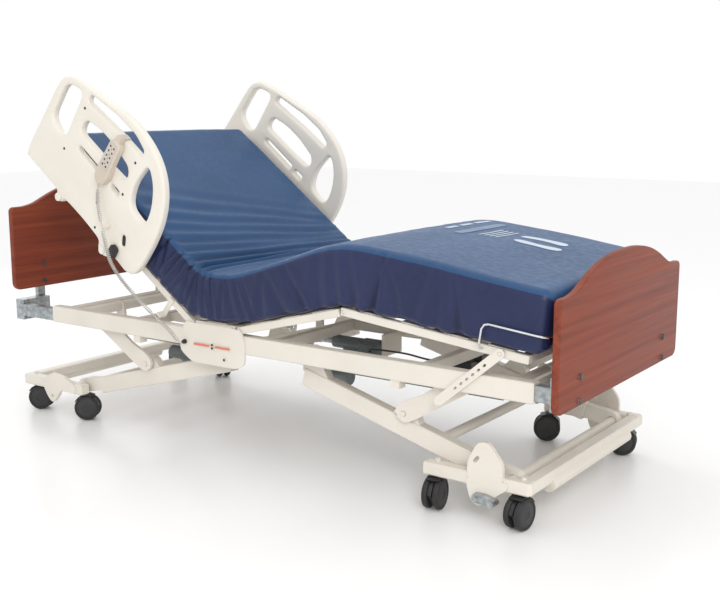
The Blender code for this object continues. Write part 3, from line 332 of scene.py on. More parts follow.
STRIPE_RED = moulded("stripe_red", (0.72, 0.20, 0.12), (0.62, 0.16, 0.10), 0.5)
BOLT_DARK = zinc("bolt_dark", (0.16, 0.13, 0.12), (0.08, 0.06, 0.055), 0.45)


def dress_frame():
    """Give every node of the frame the material of its slot."""
    for row in frame["record"]["subparts"]:
        mesh = frame["nodes"][row["node"]].data
        mesh.materials.clear()
        mesh.materials.append(MATERIALS[row["material_slot"]])


# ---- making pieces ----
def piece(name, verts, faces, material, body=None, smooth=True):
    mesh = bpy.data.meshes.new(name)
    mesh.from_pydata([tuple(v) for v in verts], [], faces)
    mesh.validate()
    mesh.update()
    mesh.materials.append(material)
    mesh.polygons.foreach_set("use_smooth", [smooth] * len(mesh.polygons))
    made = bpy.data.objects.new(name, mesh)
    bpy.context.scene.collection.objects.link(made)
    if body:
        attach(made, body)
    return made


def tube_faces(rings, steps):
    """Quads between closed rings of points, ring after ring."""
    faces = []
    for low in range(0, (rings - 1) * steps, steps):
        high = low + steps
        for k in range(steps):
            after = (k + 1) % steps
            faces.append((low + k, low + after, high + after, high + k))
    return faces


def between(a, b, c, d, t):
    """Point on a smooth curve from b to c, a share t of the way, with a and d as its neighbours."""
    return 0.5 * ((2 * b) + (c - a) * t + (2 * a - 5 * b + 4 * c - d) * t * t
                  + (3 * b - a - 3 * c + d) * t ** 3)


# ---- mattress ----
MATT_UP = 0.100
MATT_HALF_T = 0.078
MATT_HALF_W = 0.446
STEP = 0.0055
EASE = 0.105
TOP_POINT = 30
SIDE_COLOUR_FROM = 0.0135


def bend_corner(hinge, a, b):
    mid = (a + b) / 2
    reach = MATT_UP / math.cos((a - b) / 2)
    return Vector((hinge.x - math.sin(mid) * reach, hinge.z + math.cos(mid) * reach))


def mattress_line():
    """Side view of the mattress at half its height: even steps, place and slope, run 0 at the hip."""
    start = on_deck(HIP, BACK_SLOPE, -BACK_RUN, 0.0, MATT_UP)
    end = on_deck(KNEE, CALF_SLOPE, CALF_RUN, 0.0, MATT_UP)
    corners = [Vector((start.x, start.z)), bend_corner(HIP, BACK_SLOPE, SEAT_SLOPE),
               bend_corner(SEAT, SEAT_SLOPE, THIGH_SLOPE), bend_corner(KNEE, THIGH_SLOPE, CALF_SLOPE),
               Vector((end.x, end.z))]
    lengths = [(b - a).length for a, b in zip(corners, corners[1:])]
    total = sum(lengths)
    count = int(round(total / STEP))
    runs = np.linspace(0.0, total, count + 1)
    knots = np.concatenate([[0.0], np.cumsum(lengths)])
    pad = int(EASE / STEP) + 2
    before = runs[0] + np.arange(-pad, 0) * STEP
    after = runs[-1] + np.arange(1, pad + 1) * STEP
    wide = np.concatenate([before, runs, after])
    flat = []
    for r in wide:
        k = int(np.clip(np.searchsorted(knots, r) - 1, 0, 3))
        f = (r - knots[k]) / lengths[k]
        flat.append(corners[k].lerp(corners[k + 1], f) if 0 <= f <= 1 else
                    corners[k] + (corners[k + 1] - corners[k]) * f)
    flat = np.array([(p.x, p.y) for p in flat])
    box = np.ones(int(EASE / STEP)) / int(EASE / STEP)
    for _ in range(2):
        flat = np.stack([np.convolve(flat[:, c], box, mode="same") for c in (0, 1)], 1)
    line = flat[pad:pad + count + 1]
    slope = np.gradient(line, axis=0)
    slope /= np.linalg.norm(slope, axis=1)[:, None]
    return runs - lengths[0], line, slope


def section_loop():
    """Cross-section as (y, height) pairs, going round from the bottom of the near side."""
    r_top, r_low = 0.026, 0.014
    pts = []
    side_steps, top_steps, low_steps = 18, 74, 20
    w, t = MATT_HALF_W, MATT_HALF_T
    for k in range(side_steps + 1):
        pts.append((-w, -t + r_low + (2 * t - r_low - r_top) * k / side_steps))
    for k in range(1, 6):
        a = math.radians(180 - 90 * k / 6)
        pts.append((-w + r_top + math.cos(a) * r_top, t - r_top + math.sin(a) * r_top))
    for k in range(top_steps + 1):
        pts.append((-w + r_top + (2 * w - 2 * r_top) * k / top_steps, t))
    for k in range(1, 6):
        a = math.radians(90 - 90 * k / 6)
        pts.append((w - r_top + math.cos(a) * r_top, t - r_top + math.sin(a) * r_top))
    for k in range(side_steps + 1):
        pts.append((w, t - r_top - (2 * t - r_low - r_top) * k / side_steps))
    for k in range(1, 4):
        a = math.radians(-90 * k / 4)
        pts.append((w - r_low + math.cos(a) * r_low, -t + r_low + math.sin(a) * r_low))
    for k in range(low_steps + 1):
        pts.append((w - r_low - (2 * w - 2 * r_low) * k / low_steps, -t))
    for k in range(1, 4):
        a = math.radians(-90 - 90 * k / 4)
        pts.append((-w + r_low + math.cos(a) * r_low, -t + r_low + math.sin(a) * r_low))
    return np.array(pts)


def fold(x):
    """A sharp valley with a soft ridge on each side of it."""
    return -np.exp(-x * x) + 0.5 * np.exp(-(x - 1.8) ** 2) + 0.5 * np.exp(-(x + 1.8) ** 2)


# creases across the hip: run from the hip, depth, half width
HIP_CREASES = ((-0.370, 0.0026, 0.020), (-0.305, 0.0044, 0.018), (-0.246, 0.0052, 0.015),
               (-0.200, 0.0072, 0.013), (-0.152, 0.0076, 0.013), (-0.112, 0.0096, 0.011),
               (-0.072, 0.0104, 0.011), (-0.030, 0.0120, 0.011), (0.016, 0.0090, 0.012),
               (0.062, 0.0044, 0.014))
# broad drapes down the sides of the leg end: run from the hip, depth, half width, lean
SIDE_DRAPES = ((0.285, 0.0040, 0.014, 0.35), (0.345, 0.0056, 0.016, -0.30), (0.430, 0.0070, 0.014, -0.35),
               (0.520, 0.0048, 0.018, 0.30), (0.585, 0.0040, 0.013, 0.10), (0.650, 0.0066, 0.015, -0.20),
               (0.735, 0.0092, 0.013, 0.22), (0.800, 0.0066, 0.016, -0.45), (0.880, 0.0056, 0.018, 0.35),
               (0.950, 0.0040, 0.014, 0.15), (1.010, 0.0070, 0.014, -0.25))


def gathers(seed):
    """Creases down one side, close together at the hip, and the drapes after them."""
    rng = random.Random(seed)
    out = []
    run = -0.74
    while run < 0.24:
        near_hip = math.exp(-((run + 0.05) / 0.20) ** 2)
        out.append((run, 0.0016 + 0.0092 * near_hip * rng.uniform(0.55, 1.15), rng.uniform(0.0060, 0.0100),
                    rng.uniform(-0.30, 0.20)))
        run += rng.uniform(0.022, 0.040) + 0.020 * (1 - near_hip)
    return out + list(SIDE_DRAPES)


def smoothstep(x, a, b):
    t = np.clip((x - a) / (b - a), 0.0, 1.0)
    return t * t * (3 - 2 * t)


def field(points, scale, seed):
    """Seeded smooth noise at each (a, b) point."""
    return np.array([noise.noise(Vector((a * scale, b * scale, seed))) for a, b in points])


def mattress_points():
    """Every point of the mattress as an array [run][round the section] of world places."""
    runs, line, slope = mattress_line()
    loop = section_loop()
    y0, h0 = loop[:, 0], loop[:, 1]
    n_run, n_loop = len(runs), len(loop)
    S = np.repeat(runs[:, None], n_loop, 1)
    Y = np.repeat(y0[None, :], n_run, 0)
    H = np.repeat(h0[None, :], n_run, 0)
    flat_top = smoothstep(H, MATT_HALF_T - 0.022, MATT_HALF_T - 0.004)
    side = smoothstep(np.abs(Y), MATT_HALF_W - 0.020, MATT_HALF_W - 0.004) * (1 - 0.6 * flat_top)
    under = smoothstep(-H, MATT_HALF_T - 0.010, MATT_HALF_T - 0.001)
    # loop normals in the section plane
    ahead = np.roll(loop, -1, 0) - np.roll(loop, 1, 0)
    normal = np.stack([-ahead[:, 1], ahead[:, 0]], 1)
    normal /= np.linalg.norm(normal, axis=1)[:, None]
    if normal[len(normal) // 3][1] < 0:
        normal = -normal
    out = np.zeros_like(S)
    # soft crown and slow waves of the foam
    pairs = list(zip(S.ravel(), Y.ravel()))
    slow = field(pairs, 4.2, 3.1).reshape(S.shape)
    mid = field(pairs, 13.0, 8.4).reshape(S.shape)
    v = Y / MATT_HALF_W
    out += flat_top * (0.004 * (1 - v ** 2) + 0.0030 * slow + 0.0009 * mid)
    # creases over the hip, closer together on the far side
    fan = 0.93 - 0.33 * v
    for i, (run, depth, half) in enumerate(HIP_CREASES):
        wander = np.array([noise.noise(Vector((y * 3.0, i * 4.7, 1.5))) for y in y0])
        grow = np.array([noise.noise(Vector((y * 2.2, i * 2.9, 6.5))) for y in y0])
        centre = run * fan + 0.012 * (1 - v ** 2) + 0.010 * wander[None, :]
        reach = smoothstep(np.abs(Y), MATT_HALF_W + 0.01, MATT_HALF_W - 0.05)
        strength = depth * (0.85 + 0.45 * grow[None, :])
        out += flat_top * reach * strength * fold((S - centre) / (half * (1.15 - 0.2 * v)))
    # gathers and drapes on both sides
    level = (H + MATT_HALF_T) / (2 * MATT_HALF_T)
    for s, seed in ((-1, 11), (1, 12)):
        here = side * (np.sign(Y) == s)
        for run, depth, half, lean in gathers(seed):
            shift = S - run - lean * (H + 0.02)
            high = 0.45 + 0.55 * smoothstep(level, 0.1, 0.9)
            low = 0.35 + 0.65 * smoothstep(1 - level, 0.0, 0.8)
            tall = high if run < 0.2 else low
            out += here * depth * tall * fold(shift / (half * (0.8 + 0.5 * (1 - level))))
        belly = np.sin(np.pi * np.clip(level, 0, 1)) ** 0.8
        out += here * (0.0045 * belly + 0.0016 * slow + 0.0008 * mid)
    # seam under the top edge and hem above the bottom edge
    seam = np.exp(-((H - (MATT_HALF_T - 0.030)) / 0.0022) ** 2)
    hem = np.exp(-((H + MATT_HALF_T - 0.022) / 0.0020) ** 2)
    band = smoothstep(-H, MATT_HALF_T - 0.020, MATT_HALF_T - 0.012) * (1 - under)
    out += side * (-0.0014 * seam - 0.0012 * hem + 0.0014 * band)
    # crease depth from 0 to 1, kept for the cover material as painted shade in the creases
    valley = np.clip(-out / 0.0085, 0.0, 1.0) ** 1.3
    # round ends
    near_end = np.minimum(S - runs[0], runs[-1] - S)
    r_end = 0.030
    lift = np.clip(near_end / r_end, 0.0, 1.0)
    inset = r_end * (1 - np.sqrt(np.clip(1 - (1 - lift) ** 2, 0.0, 1.0)))
    out -= inset
    Yd = Y + normal[None, :, 0] * out
    Hd = H + normal[None, :, 1] * out
    # scalloped hem between its ties on the leg end
    scallop = 0.0055 * (0.5 - 0.5 * np.cos((S - 0.02) * 2 * np.pi / 0.235)) * smoothstep(S, 0.05, 0.20)
    Hd += side * smoothstep(1 - level, 0.80, 1.0) * scallop
    # the foam stands up over the knees
    Hd += level * (0.034 * smoothstep(S, 0.12, 0.70) - 0.012 * smoothstep(S, 0.84, 1.28))
    X = line[:, 0][:, None] - slope[:, 1][:, None] * Hd
    Z = line[:, 1][:, None] + slope[:, 0][:, None] * Hd
    return runs, loop, np.stack([X, Yd + MID_Y, Z], 2), valley


def surface_frame(runs, grid, loop, run, y):
    """Place and outward normal of the mattress top at a run and a side distance."""
    i = int(np.clip(np.searchsorted(runs, run), 1, len(runs) - 2))
    tops = [k for k, (a, h) in enumerate(loop) if h > MATT_HALF_T - 0.001]
    j = min(tops, key=lambda k: abs(loop[k][0] - y))
    u = Vector(grid[i + 1][j]) - Vector(grid[i - 1][j])
    w = Vector(grid[i][j + 1]) - Vector(grid[i][j - 1])
    fi = (run - runs[i - 1]) / (runs[i] - runs[i - 1])
    base = Vector(grid[i - 1][j]).lerp(Vector(grid[i][j]), fi)
    base.y = MID_Y + y
    return base, u.cross(w).normalized()


def mattress_strip(name, runs, loop, grid, valley, first, last, close_first, close_last):
    """One stretch of the mattress, open where the next stretch meets it."""
    n = len(loop)
    rows = list(range(first, last + 1))
    verts = [tuple(grid[i][j]) for i in rows for j in range(n)]
    arc_len = [0.0]
    for j in range(1, n):
        arc_len.append(arc_len[-1] + math.hypot(loop[j][0] - loop[j - 1][0], loop[j][1] - loop[j - 1][1]))
    uv = {k: (runs[rows[k // n]], arc_len[k % n]) for k in range(len(verts))}
    faces = []
    kinds = []
    for a in range(len(rows) - 1):
        for j in range(n):
            k = (j + 1) % n
            faces.append((a * n + j, a * n + k, (a + 1) * n + k, (a + 1) * n + j))
            high = min(loop[j][1], loop[k][1]) > MATT_HALF_T - SIDE_COLOUR_FROM
            kinds.append(0 if high else 1)

    def cap(ring, centre, flip):
        """Close an end with shrinking rings."""
        inner = ring
        for f in (0.82, 0.60, 0.36, 0.12):
            new = []
            for k in ring:
                p = Vector(verts[k])
                verts.append(tuple(centre.lerp(p, f)))
                uv[len(verts) - 1] = (uv[k][0] + (1 - f) * 0.2, uv[k][1])
                new.append(len(verts) - 1)
            for j in range(n):
                k = (j + 1) % n
                quad = (inner[j], inner[k], new[k], new[j])
                faces.append(quad[::-1] if flip else quad)
                kinds.append(1)
            inner = new
        faces.append(tuple(inner[::-1] if flip else inner))
        kinds.append(1)

    for use, row, flip in ((close_first, 0, True), (close_last, len(rows) - 1, False)):
        if use:
            ring = list(range(row * n, row * n + n))
            centre = sum((Vector(verts[k]) for k in ring), Vector()) / n
            cap(ring, centre, flip)
    made = piece(name, verts, faces, MATERIALS["mattress_cover"])
    # crease depth per point, stored as the "fold" attribute that the cover material paints as shade
    depth = [float(valley[i][j]) for i in rows for j in range(n)]
    depth += [0.0] * (len(verts) - len(depth))
    made.data.attributes.new("fold", "FLOAT", "POINT").data.foreach_set("value", depth)
    made.data.materials.append(NAVY)
    made.data.polygons.foreach_set("material_index", kinds)
    layer = made.data.uv_layers.new(name="cloth")
    for poly in made.data.polygons:
        for li in poly.loop_indices:
            layer.data[li].uv = uv[made.data.loops[li].vertex_index]
    bm = bmesh.new()
    bm.from_mesh(made.data)
    inside = Vector((0.2, MID_Y, 0.6))
    outwards = sum(f.calc_area() * f.normal.dot(f.calc_center_median() - inside) for f in bm.faces)
    if outwards < 0:
        bmesh.ops.reverse_faces(bm, faces=bm.faces)
    bm.to_mesh(made.data)
    bm.free()
    return made


def mattress_marks(runs, loop, grid, knee_run):
    """Plain printed shapes near the feet: bars, short lines and two long soles, all without lettering."""
    shapes = []

    def bar_shape(run, y, length, width, angle=90.0):
        a = math.radians(angle)
        pts = []
        for k in range(16):
            t = 2 * math.pi * k / 16
            u = math.copysign(abs(math.cos(t)) ** 0.35, math.cos(t)) * length / 2
            w = math.copysign(abs(math.sin(t)) ** 0.35, math.sin(t)) * width / 2
            pts.append((run + u * math.cos(a) - w * math.sin(a), y + u * math.sin(a) + w * math.cos(a)))
        return pts

    def sole(run, y, length, flip):
        pts = []
        for k in range(36):
            t = 2 * math.pi * k / 36
            u = math.copysign(abs(math.cos(t)) ** 0.72, math.cos(t))
            wide = 0.150 + 0.030 * u - 0.040 * math.cos(3.0 * u - 0.35)
            side = math.copysign(abs(math.sin(t)) ** 0.80, math.sin(t))
            pts.append((run + u * length / 2, y + flip * 0.010 * u * u + side * wide * length))
        return pts

    for run, y, length in ((-0.004, 0.130, 0.090), (-0.004, 0.245, 0.100), (-0.004, 0.350, 0.070),
                           (0.050, 0.120, 0.070), (0.050, 0.215, 0.080), (0.050, 0.330, 0.110)):
        shapes.append((bar_shape(run, y, length, 0.018), MARK_WHITE))
    shapes.append((bar_shape(0.118, 0.190, 0.33, 0.036), MARK_GREY))
    for k in range(4):
        shapes.append((bar_shape(0.176 + 0.019 * k, 0.155, 0.17, 0.0075), MARK_WHITE))
    shapes.append((sole(0.372, 0.090, 0.165, 1), MARK_WHITE))
    shapes.append((sole(0.352, 0.200, 0.165, -1), MARK_WHITE))
    for i, (pts, material) in enumerate(shapes):
        centre = sum((Vector(p) for p in pts), Vector((0, 0))) / len(pts)
        rings = [[centre.lerp(Vector(p), f) for p in pts] for f in (0.34, 0.67, 1.0)]
        verts, faces = [], []
        flat = [centre] + [p for ring in rings for p in ring]
        for p in flat:
            place, up = surface_frame(runs, grid, loop, knee_run + p.x, p.y)
            if up.z < 0:
                up = -up
            verts.append(place + up * 0.0011)
        n = len(pts)
        for j in range(n):
            faces.append((0, 1 + j, 1 + (j + 1) % n))
            for r in range(2):
                a, b = 1 + r * n, 1 + (r + 1) * n
                faces.append((a + j, b + j, b + (j + 1) % n, a + (j + 1) % n))
        body = "calf" if centre.x > KNEE_REACH else None
        made = piece("mattress_mark_%02d" % i, verts, faces, material, body)
        if made.parent is None:
            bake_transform(made)


BLEND_HIP = (on_deck(HIP, BACK_SLOPE, -0.115, 0, MATT_UP), on_deck(HIP, SEAT_SLOPE, 0.085, 0, MATT_UP))
BLEND_SEAT = (on_deck(SEAT, SEAT_SLOPE, -0.065, 0, MATT_UP), on_deck(SEAT, THIGH_SLOPE, 0.090, 0, MATT_UP))
KNEE_REACH = 0.110
BLEND_KNEE = (on_deck(KNEE, THIGH_SLOPE, -KNEE_REACH, 0, MATT_UP),
              on_deck(KNEE, CALF_SLOPE, KNEE_REACH, 0, MATT_UP))


def build_mattress():
    runs, loop, grid, valley = mattress_points()
    seat_cut = int(np.argmin(np.abs(grid[:, TOP_POINT, 0] - (HIP.x + SEAT.x) / 2)))
    thigh_mid = on_deck(SEAT, THIGH_SLOPE, THIGH_RUN / 2, 0, MATT_UP)
    thigh_cut = int(np.argmin(np.abs(grid[:, TOP_POINT, 0] - thigh_mid.x)))
    last = len(runs) - 1
    plan = (("mattress_upper", 0, seat_cut, True, False, ("back", "frame"), BLEND_HIP,
             ("mattress_back", "mattress_seat")),
            ("mattress_middle", seat_cut, thigh_cut, False, False, ("frame", "thigh"), BLEND_SEAT,
             ("mattress_thigh",)),
            ("mattress_lower", thigh_cut, last, False, True, ("thigh", "calf"), BLEND_KNEE,
             ("mattress_calf",)))
    for name, a, b, first, end, bodies, places, nodes in plan:
        made = mattress_strip(name, runs, loop, grid, valley, a, b, first, end)
        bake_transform(made)
        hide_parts(*nodes)
    corners = (bend_corner(HIP, BACK_SLOPE, SEAT_SLOPE), bend_corner(SEAT, SEAT_SLOPE, THIGH_SLOPE),
               bend_corner(KNEE, THIGH_SLOPE, CALF_SLOPE))
    knee_run = (corners[1] - corners[0]).length + (corners[2] - corners[1]).length
    mattress_marks(runs, loop, grid, knee_run)


# ---- moulded side rails ----
BACK_UP = -BACK_SLOPE
RAIL_IN, RAIL_OUT = 0.4790, 0.5110
HANDSET_BACK = -(RAIL_OUT + 0.0003)


def arc_rounded(points, radius, steps=6):
    """A closed outline with every corner rounded."""
    out = []
    n = len(points)
    for i in range(n):
        a, b, c = Vector(points[i - 1]), Vector(points[i]), Vector(points[(i + 1) % n])
        u, w = (a - b), (c - b)
        reach = min(radius, u.length * 0.48, w.length * 0.48)
        p, q = b + u.normalized() * reach, b + w.normalized() * reach
        for k in range(steps + 1):
            t = k / steps
            out.append(p * (1 - t) ** 2 + b * 2 * t * (1 - t) + q * t * t)
    return out


def flowing(points, steps=5):
    """A closed curve through the points."""
    out = []
    n = len(points)
    for i in range(n):
        a, b, c, d = (Vector(points[(i + k) % n]) for k in (-1, 0, 1, 2))
        for k in range(steps):
            out.append(between(a, b, c, d, k / steps))
    return out


def stadium(x, z, half, radius, degrees, steps=8):
    a = math.radians(degrees)
    along, side = Vector((math.cos(a), math.sin(a))), Vector((-math.sin(a), math.cos(a)))
    out = []
    for end, start in ((half, -90), (-half, 90)):
        for k in range(steps + 1):
            t = math.radians(start + 180 * k / steps)
            out.append(Vector((x, z)) + along * (end + math.cos(t) * radius) + side * math.sin(t) * radius)
    return out


def panel(name, loops, thick, edge, place, material, smooth_degrees=40.0):
    """A flat panel with rounded edges cut from closed outlines, put in place by a matrix."""
    curve = bpy.data.curves.new(name + "_outline", "CURVE")
    curve.dimensions = "2D"
    curve.fill_mode = "BOTH"
    curve.extrude = thick / 2 - edge
    curve.bevel_depth = edge
    curve.bevel_resolution = 4
    curve.offset = -edge
    for loop in loops:
        spline = curve.splines.new("POLY")
        spline.points.add(len(loop) - 1)
        for point, p in zip(spline.points, loop):
            point.co = (p[0], p[1], 0.0, 1.0)
        spline.use_cyclic_u = True
    holder = bpy.data.objects.new(name + "_outline", curve)
    bpy.context.scene.collection.objects.link(holder)
    bpy.context.view_layer.update()
    mesh = bpy.data.meshes.new_from_object(holder.evaluated_get(bpy.context.evaluated_depsgraph_get()))
    bpy.data.objects.remove(holder)
    bpy.data.curves.remove(curve)
    mesh.name = name
    mesh.transform(place)
    if place.determinant() < 0:
        mesh.flip_normals()
    bm = bmesh.new()
    bm.from_mesh(mesh)
    bmesh.ops.remove_doubles(bm, verts=bm.verts, dist=1e-6)
    bm.to_mesh(mesh)
    bm.free()
    mesh.materials.clear()
    mesh.materials.append(material)
    mesh.polygons.foreach_set("use_smooth", [True] * len(mesh.polygons))
    mesh.set_sharp_from_angle(angle=math.radians(smooth_degrees))
    made = bpy.data.objects.new(name, mesh)
    bpy.context.scene.collection.objects.link(made)
    return made


def back_plane(y):
    """Matrix from (run up the back, height over it, outwards) to world, at a distance from the middle."""
    c, s = math.cos(BACK_UP), math.sin(BACK_UP)
    return Matrix(((-c, s, 0, HIP.x), (0, 0, 1, MID_Y + y), (s, c, 0, HIP.z), (0, 0, 0, 1)))


def cap_disc(name, centre, axis, radius, height, material, body, dome=0.35, steps=24):
    """A low round button or screw head with a domed edge, standing on a face."""
    axis = Vector(axis).normalized()
    across = axis.orthogonal().normalized()
    up = axis.cross(across)
    rings = ((radius, 0.0), (radius, height * (1 - dome)), (radius * 0.93, height * (1 - dome * 0.35)),
             (radius * 0.78, height))
    spokes = [across * math.cos(2 * math.pi * k / steps) + up * math.sin(2 * math.pi * k / steps)
              for k in range(steps)]
    verts = [Vector(centre) + spoke * r + axis * h for r, h in rings for spoke in spokes]
    faces = tube_faces(len(rings), steps)
    faces.append(tuple(range((len(rings) - 1) * steps, len(rings) * steps)))
    faces.append(tuple(reversed(range(steps))))
    return piece(name, verts, faces, material, body)


def build_rails():
    outer = [(0.905, 0.012), (0.911, 0.060), (0.909, 0.120), (0.905, 0.210), (0.902, 0.290), (0.892, 0.343),
             (0.862, 0.374), (0.815, 0.389), (0.735, 0.405), (0.655, 0.418), (0.580, 0.430), (0.515, 0.434),
             (0.440, 0.424), (0.375, 0.402), (0.318, 0.364), (0.272, 0.306), (0.245, 0.236), (0.235, 0.165),
             (0.234, 0.095), (0.238, 0.040), (0.252, 0.008), (0.285, -0.008), (0.330, -0.006),
             (0.366, -0.008), (0.384, -0.030), (0.409, -0.038), (0.434, -0.028), (0.448, -0.006),
             (0.500, 0.000), (0.580, 0.002), (0.655, -0.002), (0.668, -0.020), (0.684, -0.026),
             (0.702, -0.018), (0.714, 0.002), (0.800, 0.004), (0.885, 0.005)]
    hand = [(0.868, 0.345), (0.780, 0.372), (0.772, 0.196), (0.800, 0.178), (0.868, 0.200)]
    top = [(0.748, 0.356), (0.748, 0.384), (0.600, 0.404), (0.500, 0.404), (0.438, 0.384), (0.440, 0.362),
           (0.560, 0.364)]
    mid = [(0.722, 0.300), (0.722, 0.246), (0.560, 0.243), (0.466, 0.246), (0.452, 0.268), (0.470, 0.294),
           (0.560, 0.312), (0.640, 0.314)]
    grip = [(0.400, 0.362), (0.346, 0.320), (0.308, 0.250), (0.300, 0.180), (0.392, 0.188), (0.416, 0.262)]
    loops = [flowing(outer), arc_rounded(hand, 0.034), arc_rounded(top, 0.017), arc_rounded(mid, 0.026),
             stadium(0.610, 0.196, 0.0775, 0.0090, 2), stadium(0.478, 0.190, 0.015, 0.0090, 2),
             arc_rounded(grip, 0.036), stadium(0.349, 0.074, 0.010, 0.0085, 62)]
    screws = ((0.742, 0.330), (0.752, 0.150), (0.447, 0.330), (0.436, 0.205), (0.480, 0.022), (0.520, 0.100))
    for side, sign in SIDES:
        middle = sign * (RAIL_IN + RAIL_OUT) / 2
        made = panel("rail_panel_" + side, loops, RAIL_OUT - RAIL_IN, 0.0105, back_plane(middle),
                     MATERIALS["rail_plastic"], 50.0)
        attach(made, "side_rail_" + side)
        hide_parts("side_rail_" + side)
        plane = back_plane(sign * RAIL_OUT)
        outward = (0, sign, 0)
        for i, (run, height) in enumerate(screws):
            centre = plane @ Vector((run, height, -0.0004 * sign))
            cap_disc("rail_screw_%s_%d" % (side, i), centre, outward, 0.0048, 0.0016, HUB_GREY,
                     "side_rail_" + side)
        lens = arc_rounded(stadium(0.349, 0.074, 0.012, 0.0100, 62), 0.002)
        bung = panel("rail_bung_" + side, [lens], 0.006, 0.001, back_plane(sign * (RAIL_OUT - 0.010)),
                     MATERIALS["black_plastic"])
        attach(bung, "side_rail_" + side)
        for k, (run, low) in enumerate(((0.409, -0.020), (0.685, -0.012))):
            barrel = plane @ Vector((run, low, 0.0))
            cap_disc("rail_pivot_%s_%d" % (side, k), barrel - Vector((0, sign * 0.0004, 0)), outward,
                     0.0150, 0.0055, MATERIALS["rail_plastic"], "side_rail_" + side, 0.5, 36)
    tab = [(0.424, 0.060), (0.436, 0.060), (0.437, 0.078), (0.423, 0.078)]
    clip = panel("rail_cord_tab", [arc_rounded(tab, 0.003)], 0.020, 0.002, back_plane(-(RAIL_OUT + 0.0095)),
                 MATERIALS["rail_plastic"])
    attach(clip, "side_rail_near")


# ---- head and foot boards ----
BOARD_X, BOARD_T, BOARD_HALF, BOLT_Y = 1.132, 0.022, 0.457, 0.320


def board_loop(low, side_top, rise):
    half = [(0.0, 1.0), (0.070, 0.985), (0.140, 0.90), (0.205, 0.745), (0.265, 0.52), (0.315, 0.28),
            (0.355, 0.10), (0.400, 0.004)]
    crest = [(-y, side_top + rise * f) for y, f in half[::-1]]
    crest += [(y, side_top + rise * f) for y, f in half[1:]]
    wave = []
    for i in range(len(crest) - 1):
        a, b, c, d = (Vector(crest[min(max(i + k, 0), len(crest) - 1)]) for k in (-1, 0, 1, 2))
        for k in range(6):
            wave.append(between(a, b, c, d, k / 6))
    wave.append(Vector(crest[-1]))
    out = list(wave)
    for cy, cz, r, start in ((BOARD_HALF - 0.018, side_top - 0.018, 0.018, 90),
                             (BOARD_HALF - 0.028, low + 0.028, 0.028, 0),
                             (-BOARD_HALF + 0.028, low + 0.028, 0.028, -90),
                             (-BOARD_HALF + 0.018, side_top - 0.018, 0.018, 180)):
        for k in range(9):
            t = math.radians(start - 90 * k / 8)
            out.append(Vector((cy + math.cos(t) * r, cz + math.sin(t) * r)))
    return out


def build_boards():
    for name, sign, low, side_top, heights in (("foot_board", 1, 0.352, 0.668, (0.368, 0.436)),
                                               ("head_board", -1, 0.473, 0.789, (0.496, 0.563))):
        middle = FRAME_X + sign * (BOARD_X - BOARD_T / 2)
        place = Matrix(((0, 0, 1, middle), (1, 0, 0, MID_Y), (0, 1, 0, 0), (0, 0, 0, 1)))
        made = panel(name + "_panel", [board_loop(low, side_top, 0.089)], BOARD_T, 0.0055, place,
                     MATERIALS["cherry_board"], 50.0)
        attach(made, "frame")
        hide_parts(name)
        for k, z in enumerate(heights):
            for side, s in SIDES:
                outer = FRAME_X + sign * BOARD_X
                inner = FRAME_X + sign * (BOARD_X - BOARD_T)
                at, way = (outer, 1) if sign > 0 else (inner, -1)
                centre = (at + sign * way * 0.0040, MID_Y + s * BOLT_Y, z)
                cap_disc("%s_bolt_%s_%d" % (name, side, k), centre, (sign * way, 0, 0), 0.0098, 0.0022,
                         BOLT_DARK, "frame")


# ---- casters ----
def lathe(name, profile, place, material, body, steps=48):
    """Turned piece: profile of (radius, along) pairs, round the local Z axis of the matrix."""
    verts = []
    for r, z in profile:
        for k in range(steps):
            t = 2 * math.pi * k / steps
            verts.append(place @ Vector((math.cos(t) * r, math.sin(t) * r, z)))
    n = len(profile)
    faces = tube_faces(n, steps)
    faces.append(tuple(reversed(range(steps))))
    faces.append(tuple(range((n - 1) * steps, n * steps)))
    made = piece(name, verts, faces, material, body)
    made.data.set_sharp_from_angle(angle=math.radians(40))
    return made


def build_casters():
    gap, width, tread = 0.0075, 0.0190, 0.0464
    face = gap + width
    tyre = [(0.030, gap + 0.0010), (0.0395, gap + 0.0004), (0.0435, gap + 0.0016),
            (tread - 0.0006, gap + 0.0045), (tread, gap + 0.0080), (tread, gap + 0.0120),
            (tread - 0.0008, gap + 0.0155), (0.0440, gap + 0.0178), (0.0405, face - 0.0006),
            (0.0370, face - 0.0010), (0.0362, face - 0.0028)]
    cover = [(0.0375, face - 0.0030), (0.0362, face - 0.0018), (0.0300, face - 0.0006),
             (0.0180, face + 0.0002), (0.0115, face + 0.0004), (0.0105, face - 0.0010),
             (0.0060, face - 0.0012)]
    for end in ("foot", "head"):
        for stem in ("inner", "outer"):
            for side, _ in SIDES:
                key = "caster_%s_%s_%s" % (end, stem, side)
                roll = JOINTS[key + "_roll"]
                axis = Vector(roll["axis"]).normalized()
                across = axis.orthogonal().normalized()
                turn = Matrix((across, axis.cross(across), axis)).transposed().to_4x4()
                place = Matrix.Translation(Vector(roll["pos_m"])) @ turn
                body = key + "_wheels"
                for which, way in (("left", -1), ("right", 1)):
                    flip = place @ Matrix.Diagonal((1, way, way, 1))
                    ring = lathe("%s_tyre_%s" % (key, which), tyre, flip, MATERIALS["caster_tread"], body)
                    lathe("%s_cover_%s" % (key, which), cover, flip, HUB_GREY, body)
                    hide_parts(key + "_wheels")


